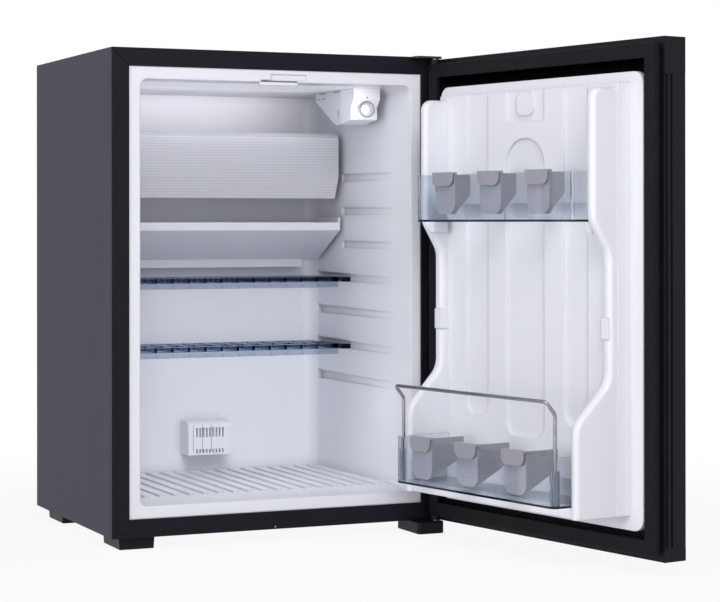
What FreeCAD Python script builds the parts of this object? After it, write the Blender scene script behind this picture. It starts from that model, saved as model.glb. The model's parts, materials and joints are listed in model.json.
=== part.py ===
import FreeCAD, Part
import math
import os
import re

import Sketcher

# An absorption minibar with its door open. It is drawn in the cabinet's own frame: X to the right, Y to the
# rear from the face of the front frame, Z up from the cabinet's lower edge. The door is drawn closed, and
# its placement turns it on its hinge. Lengths are in millimetres, angles in degrees.
SIZES = {
    # Cabinet shell
    "cabinet_width": 400,
    "cabinet_height": 546,
    "cabinet_depth": 312,
    "sheet_thickness": 0.8,
    "frame_band": 20.5,
    "frame_depth": 10,
    "cut_overrun": 5,
    # Liner of the cabinet
    "liner_wall": 2,
    "flange_setback": 1.5,
    "side_wall": 33.5,
    "wall_taper": 6.5,
    "rear_wall": 32,
    "top_wall": 34.5,
    "cavity_sill": 34,
    "cavity_floor": 38,
    "sill_depth": 48,
    "cavity_corner": 9,
    "cavity_rear_corner": 18,
    "groove_height": 8,
    "groove_crown": 5,
    "groove_slope": 8,
    "groove_front": 40,
    "first_groove_share": 0.238,
    "groove_pitch_share": 0.0885,
    "lower_groove_inset": 12,
    "upper_groove_inset": 86,
    "lower_groove_count": 4,
    "upper_groove_count": 3,
    "floor_rib_count": 17,
    "floor_rib_width": 6,
    "floor_rib_height": 2,
    "floor_rib_inset": 16,
    "strike_width": 44,
    "strike_height": 7,
    "strike_offset": 12,
    # Feet and the covers over the spare hinge holes
    "foot_height": 14,
    "foot_width": 42,
    "foot_length": 60,
    "foot_side_margin": 11,
    "foot_front_margin": 10,
    "foot_rear_margin": 14,
    "foot_taper": 1,
    "cover_width": 32,
    "cover_setback": 1,
    "cover_side_margin": 10,
    "cover_thickness": 2.5,
    "lower_cover_thickness": 5,
    # Hinge
    "door_opening": 100.7,
    "hinge_inset": 6.6,
    "hinge_reach": 9,
    "pin_radius": 3,
    "pin_depth": 5,
    "pin_clearance": 0.05,
    "press_clearance": 0.02,
    "bush_wall": 1.5,
    "ear_radius": 6,
    "ear_thickness": 6,
    "hinge_plate_thickness": 2.5,
    "hinge_plate_width": 34,
    "hinge_plate_nose": 8,
    "hinge_foot_width": 34,
    "hinge_foot_length": 58,
    "hinge_foot_nose": 12,
    "hinge_foot_corner": 5,
    "lower_pin_root": 10,
    # Evaporator, its tubes and the plug that closes the opening behind it
    "evaporator_depth": 36,
    "evaporator_gap": 4.5,
    "evaporator_reach": 90,
    "evaporator_top_share": 0.8955,
    "evaporator_break_share": 0.7793,
    "evaporator_bottom_share": 0.7244,
    "evaporator_setback": 12,
    "evaporator_plate": 4,
    "evaporator_bevel": 5,
    "evaporator_rib_width": 1.4,
    "evaporator_rib_height": 0.8,
    "evaporator_rib_count": 16,
    "fin_thickness": 1.4,
    "fin_count": 24,
    "evaporator_tube_radius": 8,
    "tube_spread_share": 0.3,
    "tube_level_share": 0.8152,
    "plug_width": 200,
    "plug_height": 90,
    "plug_plate_margin": 15,
    "plug_plate_thickness": 1.5,
    # Drip tray
    "tray_wall": 2.5,
    "tray_side_gap": 2,
    "tray_foot_inset": 25,
    "tray_reach": 90,
    "tray_rear_gap": 18,
    "tray_end_share": 0.6737,
    "tray_lip_share": 0.661,
    "tray_lip_height": 10,
    "tray_rear_share": 0.5597,
    "tray_foot_drop": 9,
    # Control housing, lamp cover and knob
    "control_width": 34.6,
    "control_side_gap": 11.5,
    "control_front": 62,
    "brow_drop": 12.5,
    "face_drop": 22.5,
    "chin_drop": 37,
    "belly_drop": 43,
    "tail_drop": 11.5,
    "control_face_setback": 9,
    "control_belly_reach": 53,
    "control_tail_reach": 119,
    "control_split": 40,
    "lamp_slot_width": 2,
    "lamp_slot_height": 11,
    "lamp_slot_setback": 9,
    "lamp_slot_rise": 7,
    "lamp_slot_depth": 2,
    "knob_drop": 25,
    "well_radius": 10,
    "well_depth": 2.5,
    "knob_radius": 7,
    "knob_tip_radius": 6,
    "knob_skirt_height": 3,
    "knob_grip_height": 4,
    "knob_gap": 0.3,
    "spindle_radius": 3,
    "spindle_length": 14,
    # Vented box on the rear wall
    "vent_left": 23,
    "vent_width": 57,
    "vent_bottom": 59.5,
    "vent_height": 42,
    "vent_depth": 30,
    "vent_corner": 8,
    "vent_slot_count": 9,
    "vent_slot_pitch": 4.3,
    "vent_slot_width": 2.2,
    "vent_slot_height": 12,
    "vent_low_slot_height": 5,
    "vent_slot_margin": 10.3,
    "vent_slot_depth": 6,
    # Shelves
    "upper_shelf_groove": 3,
    "lower_shelf_groove": 1,
    "shelf_reach": 92,
    "shelf_tab_reach": 104,
    "shelf_tab_rear_gap": 18,
    "shelf_arm_inset": 6,
    "shelf_rear_inset": 3,
    "shelf_rear_gap": 3,
    "shelf_side_gap": 0.7,
    "shelf_corner": 13,
    "shelf_rise": 0.3,
    "shelf_thickness": 6,
    "shelf_apron_drop": 7,
    "shelf_apron_thickness": 3,
    "shelf_slot_count": 14,
    "shelf_slot_inset": 16.2,
    "shelf_slot_bar": 3,
    "shelf_tick_width": 1.6,
    "shelf_tick_height": 4,
    "shelf_tick_rise": 0.8,
    "shelf_rim": 7,
    "shelf_bar": 4,
    # Door shell
    "door_thickness": 29,
    "door_side_gap": 3,
    "door_end_gap": 0.8,
    "door_skin_thickness": 1,
    "cap_rail": 14,
    "cap_end_height": 39,
    "bottom_cap_height": 15,
    "profile_width": 12,
    "profile_groove_width": 3,
    "profile_groove_depth": 2.5,
    "profile_groove_first": 4,
    "profile_groove_second": 11,
    # Gasket
    "seal_gap": 0.3,
    "gasket_thickness": 12,
    "gasket_width": 15.5,
    "gasket_side_margin": 3,
    "gasket_end_margin": 6.5,
    "gasket_foot_width": 9,
    "gasket_foot_height": 3,
    "gasket_neck_width": 6,
    "gasket_neck_height": 3,
    # Liner of the door
    "step_rise": 9,
    "step_side_margin": 23,
    "step_top_margin": 38,
    "step_bottom": 30,
    "step_corner": 14,
    "panel_rise": 25,
    "panel_top_margin": 50,
    "wall_draft": 4,
    "wall_side_margin": 43,
    "wall_thickness": 15,
    "wall_edge": 5,
    "low_wall_rise": 79,
    "mid_wall_rise": 35,
    "top_wall_rise": 57,
    "dyke_bottom": 45,
    "low_zone_share": 0.26,
    "mid_zone_low_share": 0.339,
    "mid_zone_high_share": 0.5824,
    "top_zone_share": 0.6447,
    "dyke_top_margin": 55,
    "dyke_corner": 12,
    "flare_radius": 26,
    "recess_depth": 3,
    "side_recess_width": 40,
    "side_recess_share": 0.306,
    "side_recess_low_share": 0.2436,
    "mid_recess_width": 66,
    "mid_recess_low_share": 0.2106,
    "mid_recess_drop": 53,
    "recess_corner": 18,
    "arch_radius": 30,
    "crest_width": 66,
    "crest_drop": 34,
    "boss_width": 30,
    "boss_height": 26,
    "boss_drop": 15,
    "lug_reach": 8,
    "lug_depth": 20,
    "lug_height": 12,
    "lug_setback": 6,
    "spare_lug_share": 0.4194,
    "spare_lug_height": 23,
    "spare_lug_width": 12,
    "spare_lug_reach": 0.8,
    "spare_lug_rise": 1,
    # Door racks
    "rack_side_gap": 0.3,
    "rack_back_gap": 0.5,
    "rack_wall": 2.2,
    "rack_corner": 7,
    "rack_height": 52.5,
    "rack_back_height": 20,
    "upper_rack_front": 72,
    "upper_rack_share": 0.6438,
    "lower_rack_front": 100,
    "lower_rack_bottom": 57,
    # Bottle clips
    "clip_width": 36,
    "clip_wall": 2.5,
    "clip_gap": 0.3,
    "clip_tab_drop": 13,
    "clip_tongue_drop": 44,
    "clip_corner": 11,
    "clip_tab_corner": 8,
    "clip_fin_drop": 22,
    "clip_fin_foot": 17,
    "upper_fin_back": 34,
    "lower_fin_back": 41,
    "clip_pitch_share": 0.295,
    "upper_clip_middle": 3,
    "lower_clip_middle": 8,
    # Wire bail of the lower rack
    "bail_radius": 2,
    "bail_bend": 5,
    "bail_side_gap": 6.4,
    "bail_setback": 7,
    "bail_lead": 4.5,
    "bail_height": 57.5,
    "bail_shoulder": 14,
    "bail_socket_depth": 36,
    "bail_socket_wall": 2.2,
    # Cooling unit on the rear panel
    "bracket_depth": 8,
    "bracket_height": 30,
    "bracket_side_margin": 35,
    "bracket_wall": 1.5,
    "lower_bracket_level": 90,
    "upper_bracket_level": 290,
    "boiler_depth": 62,
    "boiler_width": 60,
    "boiler_side_margin": 24,
    "boiler_bottom": 40,
    "boiler_height": 300,
    "boiler_corner": 8,
    "unit_plane": 30,
    "vessel_radius": 24,
    "vessel_side_margin": 50,
    "solution_pipe_length": 38,
    "vessel_level": 62,
    "vessel_bevel": 8,
    "pipe_radius": 6,
    "tube_sides": 10,
    "pipe_bend": 20,
    "coil_inset": 15,
    "coil_clearance": 35,
    "coil_pitch": 44,
    "coil_first": 130,
    "coil_runs": 5,
    "condenser_drop": 41,
    "condenser_side_margin": 50,
    "condenser_fin_width": 50,
    "condenser_fin_height": 52,
    "condenser_fin_thickness": 1,
    "condenser_fin_count": 20,
    "condenser_fin_inset": 28,
    "condenser_fin_clearance": 48,
    "terminal_width": 60,
    "terminal_height": 34,
    "terminal_depth": 28,
    "terminal_side_margin": 20,
    "terminal_bottom": 325,
    "inlet_radius": 5,
    "inlet_wall": 2,
    "inlet_length": 9,
    # Screws
    "screw_radius": 3.5,
    "screw_head": 2,
    "hinge_screw_share": 0.3,
}

# Sizes that follow from the ones above
RULES = {
    "cavity_width": "cabinet_width - 2 * side_wall",
    "cavity_rear_width": "cavity_width - 2 * wall_taper",
    "cavity_depth": "cabinet_depth - rear_wall",
    "cavity_top": "cabinet_height - top_wall",
    "cavity_height": "cavity_top - cavity_floor",
    "groove_first": "cavity_floor + cavity_height * first_groove_share",
    "groove_pitch": "cavity_height * groove_pitch_share",
    "lower_groove_rear": "cavity_depth - lower_groove_inset",
    "upper_groove_rear": "cavity_depth - upper_groove_inset",
    "floor_rib_pitch": "(cavity_rear_width - 2 * floor_rib_inset) / (floor_rib_count - 1)",
    "floor_rib_rear": "cavity_depth - cavity_rear_corner",
    "evaporator_width": "cavity_rear_width - 2 * evaporator_gap",
    "evaporator_front": "cavity_depth - evaporator_reach",
    "evaporator_top": "cavity_floor + cavity_height * evaporator_top_share",
    "evaporator_break": "cavity_floor + cavity_height * evaporator_break_share",
    "evaporator_bottom": "cavity_floor + cavity_height * evaporator_bottom_share",
    "evaporator_rib_pitch":
        "(evaporator_top - evaporator_bevel - evaporator_break) / (evaporator_rib_count + 1)",
    "evaporator_tube_spread": "cabinet_width * tube_spread_share",
    "evaporator_tube_level": "cavity_floor + cavity_height * tube_level_share",
    "tray_width": "cavity_rear_width - 2 * tray_side_gap",
    "tray_foot_width": "cavity_rear_width - 2 * tray_foot_inset",
    "tray_front": "cavity_depth - tray_reach",
    "tray_rear": "cavity_depth - tray_rear_gap",
    "tray_end_top": "cavity_floor + cavity_height * tray_end_share",
    "tray_lip_top": "cavity_floor + cavity_height * tray_lip_share",
    "tray_lip_bottom": "tray_lip_top - tray_lip_height",
    "tray_rear_level": "cavity_floor + cavity_height * tray_rear_share",
    "tray_foot_level": "tray_rear_level - tray_foot_drop",
    "control_right": "cavity_width / 2 - control_side_gap",
    "control_brow": "cavity_top - brow_drop",
    "control_face_top": "cavity_top - face_drop",
    "control_chin": "cavity_top - chin_drop",
    "control_belly": "cavity_top - belly_drop",
    "control_tail_low": "cavity_top - tail_drop",
    "knob_level": "cavity_top - knob_drop",
    "shelf_front": "cavity_depth - shelf_reach",
    "shelf_tab_front": "cavity_depth - shelf_tab_reach",
    "shelf_tab_rear": "cavity_depth - shelf_tab_rear_gap",
    "shelf_arm_width": "cavity_rear_width - 2 * shelf_arm_inset",
    "shelf_rear_width": "cavity_rear_width - 2 * shelf_rear_inset",
    "shelf_slot_pitch": "(shelf_arm_width - 2 * shelf_slot_inset) / (shelf_slot_count - 1)",
    "shelf_slot_width": "shelf_slot_pitch - shelf_slot_bar",
    "door_width": "cabinet_width - 2 * door_side_gap",
    "step_width": "door_width - 2 * step_side_margin",
    "step_top": "cabinet_height - step_top_margin",
    "panel_top": "cabinet_height - panel_top_margin",
    "wall_outer_width": "door_width - 2 * wall_side_margin",
    "wall_inner_width": "wall_outer_width - 2 * wall_thickness",
    "low_zone_top": "cabinet_height * low_zone_share",
    "mid_zone_bottom": "cabinet_height * mid_zone_low_share",
    "mid_zone_top": "cabinet_height * mid_zone_high_share",
    "top_zone_bottom": "cabinet_height * top_zone_share",
    "dyke_top": "cabinet_height - dyke_top_margin",
    "side_recess_offset": "wall_inner_width * side_recess_share",
    "side_recess_bottom": "cabinet_height * side_recess_low_share",
    "mid_recess_bottom": "cabinet_height * mid_recess_low_share",
    "mid_recess_top": "panel_top - mid_recess_drop",
    "crest_bottom": "panel_top - crest_drop",
    "boss_level": "panel_top - boss_drop",
    "spare_lug_bottom": "cabinet_height * spare_lug_share",
    "upper_rack_bottom": "cabinet_height * upper_rack_share",
    "clip_pitch": "wall_inner_width * clip_pitch_share",
    "bail_half_width": "wall_inner_width / 2 - bail_side_gap",
    "bracket_width": "cabinet_width - 2 * bracket_side_margin",
    "boiler_left": "cabinet_width / 2 - boiler_side_margin - boiler_width",
    "vessel_left": "cabinet_width / 2 - vessel_side_margin",
    "vessel_length": "vessel_left + boiler_left - solution_pipe_length",
    "coil_left": "vessel_left - coil_inset",
    "coil_width": "coil_left + evaporator_tube_spread / 2 - coil_clearance",
    "condenser_level": "cabinet_height - condenser_drop",
    "condenser_width": "cabinet_width - 2 * condenser_side_margin",
    "condenser_fin_left": "condenser_width / 2 - condenser_fin_inset",
    "condenser_fin_pitch":
        "(boiler_left + boiler_width / 2 + condenser_fin_left - condenser_fin_clearance)"
        " / condenser_fin_count",
    "terminal_left": "cabinet_width / 2 - terminal_side_margin",
}

# How closely a corner must match a place for its edge to be picked
MATCH = 1e-4

doc = FreeCAD.newDocument("minibar")
sheet = doc.addObject("Spreadsheet::Sheet", "Sizes")
for row, (alias, number) in enumerate(SIZES.items(), 1):
    sheet.set(f"A{row}", alias)
    sheet.set(f"B{row}", str(number))
    sheet.setAlias(f"B{row}", alias)
doc.recompute()

# Places that several pieces share, as expressions of the sheet's sizes
SIDE = "cabinet_width / 2"
SHELL = "(cabinet_width / 2 - sheet_thickness)"
FRAME_EDGE = "(cabinet_width / 2 - frame_band)"
REAR = "cabinet_depth"
GROOVE_PLANE = "cavity_width / 2"
HINGE_X = "(cabinet_width / 2 - hinge_inset)"
HINGE_Y = "(0 - hinge_reach)"
INNER = "(0 - seal_gap - gasket_thickness)"
OUTER = "(0 - seal_gap - gasket_thickness - door_thickness)"
BEHIND_SKIN = f"({OUTER} + door_skin_thickness)"
DOOR_BOTTOM = "door_end_gap"
DOOR_TOP = "(cabinet_height - hinge_plate_thickness - door_end_gap)"
DOOR_SIDE = "door_width / 2"
PROFILE_EDGE = "(door_width / 2 - profile_width)"
UNIT_FACE = "(cabinet_depth + bracket_depth)"
UNIT_PLANE = "(cabinet_depth + unit_plane)"
UNIT_REAR = "(cabinet_depth + bracket_depth + boiler_depth)"

# The origin is on the floor, under the middle of the box round the part with its door open
SWING = f"({DOOR_SIDE} + {HINGE_X})"
FAR_X = f"({HINGE_X} - {SWING} * cos(door_opening) - ({OUTER} - {HINGE_Y}) * sin(door_opening))"
FAR_Y = f"({HINGE_Y} - {SWING} * sin(door_opening) + ({INNER} - {HINGE_Y}) * cos(door_opening))"
CABINET_X = f"({SIDE} - {FAR_X}) / 2"
CABINET_Y = f"(0 - {UNIT_REAR} - {FAR_Y}) / 2"
DOOR_X = f"{CABINET_X} + {HINGE_X} * (1 - cos(door_opening)) + {HINGE_Y} * sin(door_opening)"
DOOR_Y = f"{CABINET_Y} + {HINGE_Y} * (1 - cos(door_opening)) - {HINGE_X} * sin(door_opening)"


def spelled(text):
    """The text with each size that follows from others written out."""
    full = re.sub(r"[a-z_]+", lambda word: f"({RULES[word[0]]})" if word[0] in RULES else word[0], text)
    return full if full == text else spelled(full)


def linked(text):
    """The text as an expression in which each size points at the sheet."""
    return re.sub(r"[a-z_]+", lambda word: f"Sizes.{word[0]}" if word[0] in SIZES else word[0], spelled(text))


def size(text):
    return float(sheet.evalExpression(spelled(text)))


def place(thing, x, y, z):
    for axis, text in zip("xyz", (x, y, z)):
        thing.setExpression(f"Placement.Base.{axis}", linked(text))


def both(text):
    """From minus the text to plus the text."""
    return f"0 - ({text})", text


def box(name, x, y, z):
    thing = doc.addObject("Part::Box", name)
    for side, (low, high) in zip(("Length", "Width", "Height"), (x, y, z)):
        thing.setExpression(side, linked(f"({high}) - ({low})"))
    place(thing, x[0], y[0], z[0])
    return thing


def rod(name, radius, axis, start, length):
    thing = doc.addObject("Part::Cylinder", name)
    turns = {"x": ((0, 1, 0), 90), "y": ((1, 0, 0), -90), "z": ((0, 0, 1), 0)}
    turn, angle = turns[axis]
    thing.Placement.Rotation = FreeCAD.Rotation(FreeCAD.Vector(*turn), angle)
    thing.setExpression("Radius", linked(radius))
    thing.setExpression("Height", linked(length))
    place(thing, *start)
    return thing


def fuse(name, *things):
    result = doc.addObject("Part::MultiFuse", name)
    result.Shapes = things
    result.Refine = True
    return result


def common(name, *things):
    result = doc.addObject("Part::MultiCommon", name)
    result.Shapes = things
    return result


def cut(name, base, *tools):
    result = doc.addObject("Part::Cut", name)
    result.Base = base
    result.Tool = tools[0] if len(tools) == 1 else fuse(f"{name}_tools", *tools)
    result.Refine = True
    return result


def group(name, *things):
    result = doc.addObject("Part::Compound", name)
    result.Links = things
    return result


def rectangle(across, up):
    return [(across[0], up[0]), (across[1], up[0]), (across[1], up[1]), (across[0], up[1])]


def draw(body, plane, start, outlines):
    """A sketch on one of the body's planes, its corners tied to the sheet."""
    sketch = body.newObject("Sketcher::SketchObject", f"{body.Name}_sketch")
    support = next(item for item in body.Origin.OriginFeatures if item.Role == f"{plane}_Plane")
    sketch.AttachmentSupport = [(support, "")]
    sketch.MapMode = "FlatFace"
    lift = f"0 - ({start})" if plane == "XZ" else start
    sketch.setExpression("AttachmentOffset.Base.z", linked(lift))
    for outline in outlines:
        first = sketch.GeometryCount
        corners = [FreeCAD.Vector(size(across), size(up), 0) for across, up in outline]
        sketch.addGeometry([Part.LineSegment(*ends) for ends in zip(corners, corners[1:] + corners[:1])])
        for index, (across, up) in enumerate(outline):
            before = first + (index - 1) % len(outline)
            sketch.addConstraint(Sketcher.Constraint("Coincident", before, 2, first + index, 1))
            for kind, text in (("DistanceX", across), ("DistanceY", up)):
                tie = sketch.addConstraint(Sketcher.Constraint(kind, first + index, 1, size(text)))
                sketch.setExpression(f"Constraints[{tie}]", linked(text))
    return sketch


def pad(body, plane, start, length, *outlines):
    sketch = draw(body, plane, start, outlines)
    feature = body.newObject("PartDesign::Pad", f"{body.Name}_pad")
    feature.Profile = sketch
    feature.Reversed = plane == "XZ"
    feature.setExpression("Length", linked(length))
    return feature


def pocket(body, plane, start, length, *outlines):
    sketch = draw(body, plane, start, outlines)
    feature = body.newObject("PartDesign::Pocket", f"{body.Name}_pocket")
    feature.Profile = sketch
    feature.Reversed = plane != "XZ"
    feature.setExpression("Length", linked(length))
    return feature


def prism(name, plane, start, length, *outlines):
    body = doc.addObject("PartDesign::Body", name)
    pad(body, plane, start, length, *outlines)
    return body


def repeat(body, axis, pitch, count):
    """Repeats the body's last feature along one of its axes."""
    original = body.Tip
    feature = body.newObject("PartDesign::LinearPattern", f"{body.Name}_pattern")
    feature.Originals = [original]
    line = next(item for item in body.Origin.OriginFeatures if item.Role == f"{axis}_Axis")
    feature.Direction = (line, [""])
    feature.Mode = "Spacing"
    feature.setExpression("Offset", linked(pitch))
    feature.setExpression("Occurrences", linked(count))
    body.Tip = feature
    return feature


def soften(body, radius, chosen):
    """Rounds the body's edges whose ends, as vectors, all pass the test."""
    doc.recompute()
    base = body.Tip
    names = [
        f"Edge{number}"
        for number, edge in enumerate(base.Shape.Edges, 1)
        if chosen(*(vertex.Point for vertex in edge.Vertexes))
    ]
    feature = body.newObject("PartDesign::Fillet", f"{body.Name}_fillet")
    feature.Base = (base, names)
    feature.setExpression("Radius", linked(radius))
    return feature


def near(number, text):
    return abs(number - size(text)) < MATCH


def runs(start, end, axis):
    """Whether an edge with these ends goes along the axis at all."""
    return abs(getattr(start, axis) - getattr(end, axis)) > MATCH


def tube(name, points, radius, bend):
    """A bar with narrow flats along straight runs that tangent arcs join."""
    spots = [FreeCAD.Vector(*(size(text) for text in point)) for point in points]
    reach = size(bend)
    edges = []
    start = spots[0]
    for before, corner, after in zip(spots, spots[1:], spots[2:]):
        back = (before - corner).normalize()
        ahead = (after - corner).normalize()
        half_angle = back.getAngle(ahead) / 2
        leg = reach / math.tan(half_angle)
        middle = corner + (back + ahead).normalize() * (reach / math.sin(half_angle) - reach)
        first = corner + back * leg
        last = corner + ahead * leg
        edges.append(Part.makeLine(start, first))
        edges.append(Part.Arc(first, middle, last).toShape())
        start = last
    edges.append(Part.makeLine(start, spots[-1]))
    way = FreeCAD.Rotation(FreeCAD.Vector(0, 0, 1), spots[1] - spots[0])
    sides = int(size("tube_sides"))
    corners = []
    for number in range(sides + 1):
        turn = 2 * math.pi * number / sides
        out = FreeCAD.Vector(math.cos(turn), math.sin(turn), 0) * size(radius)
        corners.append(spots[0] + way.multVec(out))
    ring = Part.makePolygon(corners)
    thing = doc.addObject("Part::Feature", name)
    thing.Shape = Part.Wire(edges).makePipeShell([ring], True, False)
    return thing


nodes = {}


def on_cabinet(thing):
    place(thing, CABINET_X, CABINET_Y, "foot_height")
    nodes[thing.Label] = thing
    return thing


def on_door(thing):
    thing.setExpression("Placement.Rotation.Angle", linked("door_opening"))
    place(thing, DOOR_X, DOOR_Y, "foot_height")
    nodes[thing.Label] = thing
    return thing


# Cabinet shell

def cavity(name, grow, front):
    """The space inside the cabinet, or that space grown by a wall."""
    wide = f"(cavity_width / 2 + {grow})"
    rear_wide = f"(cavity_rear_width / 2 + {grow})"
    rear = f"(cavity_depth + {grow})"
    low = f"(cavity_sill - {grow})"
    floor = f"(cavity_floor - {grow})"
    top = f"(cavity_top + {grow})"
    plan = prism(
        f"{name}_plan", "XY", low, f"{top} - {low}",
        [(f"0 - {wide}", front), (wide, front), (wide, "sill_depth"), (rear_wide, rear),
         (f"0 - {rear_wide}", rear), (f"0 - {wide}", "sill_depth")],
    )
    soften(plan, f"cavity_rear_corner + {grow}",
           lambda start, end: near(start.y, rear) and near(end.y, rear) and runs(start, end, "z"))
    side = prism(
        f"{name}_side", "YZ", f"0 - {wide}", f"2 * {wide}",
        [(front, low), ("sill_depth", floor), (rear, floor), (rear, top), (front, top)],
    )
    face = prism(f"{name}_face", "XZ", front, f"{rear} - ({front})", rectangle(both(wide), (low, top)))
    soften(face, f"cavity_corner + {grow}", lambda start, end: runs(start, end, "y"))
    grooves = []
    sets = (
        ("lower", "groove_first", "lower_groove_rear", "lower_groove_count"),
        ("upper", "groove_first + lower_groove_count * groove_pitch", "upper_groove_rear",
         "upper_groove_count"),
    )
    for label, ledge, groove_rear, count in sets:
        low_edge = f"({ledge} - {grow})"
        high_edge = f"({ledge} + groove_height + {grow})"
        crown = f"({high_edge} + groove_crown)"
        plane = f"({GROOVE_PLANE} + {grow})"
        neck = f"({plane} - groove_slope)"
        groove = prism(
            f"{name}_{label}_grooves", "XZ", "groove_front", f"{groove_rear} + {grow} - groove_front",
            [(f"0 - {plane}", low_edge), (plane, low_edge), (plane, high_edge), (neck, crown),
             (f"0 - {neck}", crown), (f"0 - {plane}", high_edge)],
        )
        repeat(groove, "Z", "groove_pitch", count)
        grooves.append(groove)
    return fuse(name, common(f"{name}_core", plan, side, face), *grooves)


def cabinet_shell():
    wrap_edge = "(cabinet_height - sheet_thickness)"
    wrap = prism(
        "outer_wrap", "XZ", "frame_depth", f"{REAR} - frame_depth",
        [(f"0 - {SIDE}", "0"), (f"0 - {SIDE}", "cabinet_height"), (SIDE, "cabinet_height"), (SIDE, "0"),
         (SHELL, "0"), (SHELL, wrap_edge), (f"0 - {SHELL}", wrap_edge), (f"0 - {SHELL}", "0")],
    )
    on_cabinet(wrap)
    inside_y = ("frame_depth", f"{REAR} - sheet_thickness")
    on_cabinet(prism("base_plate", "XY", "0", "sheet_thickness", rectangle(both(SHELL), inside_y)))
    rear_face = f"{REAR} - sheet_thickness"
    panel = box("rear_sheet", both(SHELL), (rear_face, REAR), ("sheet_thickness", wrap_edge))
    on_cabinet(cut("rear_panel", panel, plug_space("rear_opening", f"{rear_face} - cut_overrun")))

    space = cavity("cavity", "0", "0 - cut_overrun")
    lining = cavity("lining", "liner_wall", "flange_setback")
    flange_y = ("flange_setback", "flange_setback + liner_wall")
    frame_z = ("frame_band", "cabinet_height - frame_band")
    flange = box("liner_flange", both(FRAME_EDGE), flange_y, frame_z)
    ribs = prism(
        "floor_ribs", "XZ", "sill_depth", "floor_rib_rear - sill_depth",
        rectangle(
            ("0 - (floor_rib_count - 1) * floor_rib_pitch / 2 - floor_rib_width / 2",
             "0 - (floor_rib_count - 1) * floor_rib_pitch / 2 + floor_rib_width / 2"),
            ("cavity_floor - liner_wall", "cavity_floor + floor_rib_height"),
        ),
    )
    repeat(ribs, "X", "floor_rib_pitch", "floor_rib_count")
    strike = box(
        "strike_notch",
        ("strike_offset - strike_width / 2", "strike_offset + strike_width / 2"),
        ("0", "flange_setback + liner_wall / 2"),
        ("cavity_top + liner_wall", "cavity_top + liner_wall + strike_height"),
    )
    shell = cut("liner_shell", fuse("liner_form", lining, flange), space, strike, *tube_holes("liner"))
    on_cabinet(fuse("inner_liner", shell, ribs))

    block = box("foam_block", both(SHELL), inside_y, ("sheet_thickness", wrap_edge))
    nose = box("foam_nose", both(FRAME_EDGE), (flange_y[1], "frame_depth"), frame_z)
    opening = plug_space("foam_opening", "cavity_depth + liner_wall")
    on_cabinet(cut("insulation", fuse("foam_form", block, nose), lining, opening))


def plug_space(name, front):
    """The opening in the rear wall that the evaporator goes in through."""
    return box(
        name, both("plug_width / 2"), (front, f"{REAR} + cut_overrun"),
        ("evaporator_tube_level - plug_height / 2", "evaporator_tube_level + plug_height / 2"),
    )


def tube_holes(name):
    holes = []
    for side, sign in (("left", "0 -"), ("right", "")):
        start = (f"{sign} evaporator_tube_spread / 2", "evaporator_front", "evaporator_tube_level")
        length = "cabinet_depth + plug_plate_thickness + cut_overrun - evaporator_front"
        holes.append(rod(
            f"{name}_{side}_hole", "evaporator_tube_radius + press_clearance", "y", start, length,
        ))
    return holes


def front_frame():
    high = "cabinet_height"
    band_top = "(cabinet_height - frame_band)"
    left, right, inner_left = f"0 - {SIDE}", SIDE, f"0 - {FRAME_EDGE}"
    bars = {
        "frame_top": [(left, high), (inner_left, band_top), (FRAME_EDGE, band_top), (right, high)],
        "frame_bottom": [(left, "0"), (right, "0"), (FRAME_EDGE, "frame_band"), (inner_left, "frame_band")],
        "frame_left": [(left, "0"), (inner_left, "frame_band"), (inner_left, band_top), (left, high)],
        "frame_right": [(right, "0"), (right, high), (FRAME_EDGE, band_top), (FRAME_EDGE, "frame_band")],
    }
    cover_x = (f"{left} + cover_side_margin", f"{left} + cover_side_margin + cover_width")
    cover_y = ("cover_setback", "frame_depth")
    top_space = box("top_cover_space", cover_x, ("0", "frame_depth"), (f"{high} - cover_thickness", high))
    low_space = box("low_cover_space", cover_x, ("0", "frame_depth"), ("0", "lower_cover_thickness"))
    hinge_space = box(
        "hinge_plate_space", (f"{SIDE} - hinge_plate_width", SIDE), ("0", "frame_depth"),
        (f"{high} - hinge_plate_thickness", high),
    )
    spaces = {
        "frame_top": (top_space, hinge_space), "frame_bottom": (low_space,), "frame_left": (),
        "frame_right": (hinge_space,),
    }
    for name, outline in bars.items():
        bar = prism(f"{name}_bar" if spaces[name] else name, "XZ", "0", "frame_depth", outline)
        on_cabinet(cut(name, bar, *spaces[name]) if spaces[name] else bar)
    on_cabinet(group(
        "hinge_hole_covers",
        box("top_cover", cover_x, cover_y, (f"{high} - cover_thickness", high)),
        box("low_cover", cover_x, cover_y, ("0", "lower_cover_thickness")),
    ))


# Feet and hinges

def foot(name, x, y):
    """A block that narrows towards the floor."""
    low = (f"{x[0]} + foot_taper", f"{x[1]} - foot_taper")
    block = prism(
        name, "XZ", y[0], f"({y[1]}) - ({y[0]})",
        [(x[0], "0"), (low[0], "0 - foot_height"), (low[1], "0 - foot_height"), (x[1], "0")],
    )
    return block


def feet():
    left = (f"0 - {SIDE} + foot_side_margin", f"0 - {SIDE} + foot_side_margin + foot_width")
    right = (f"{SIDE} - foot_side_margin - foot_width", f"{SIDE} - foot_side_margin")
    rear = (f"{REAR} - foot_rear_margin - foot_length", f"{REAR} - foot_rear_margin")
    on_cabinet(foot("front_foot", left, ("foot_front_margin", "foot_front_margin + foot_length")))
    on_cabinet(group("rear_feet", foot("left_rear_foot", left, rear), foot("right_rear_foot", right, rear)))


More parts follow.
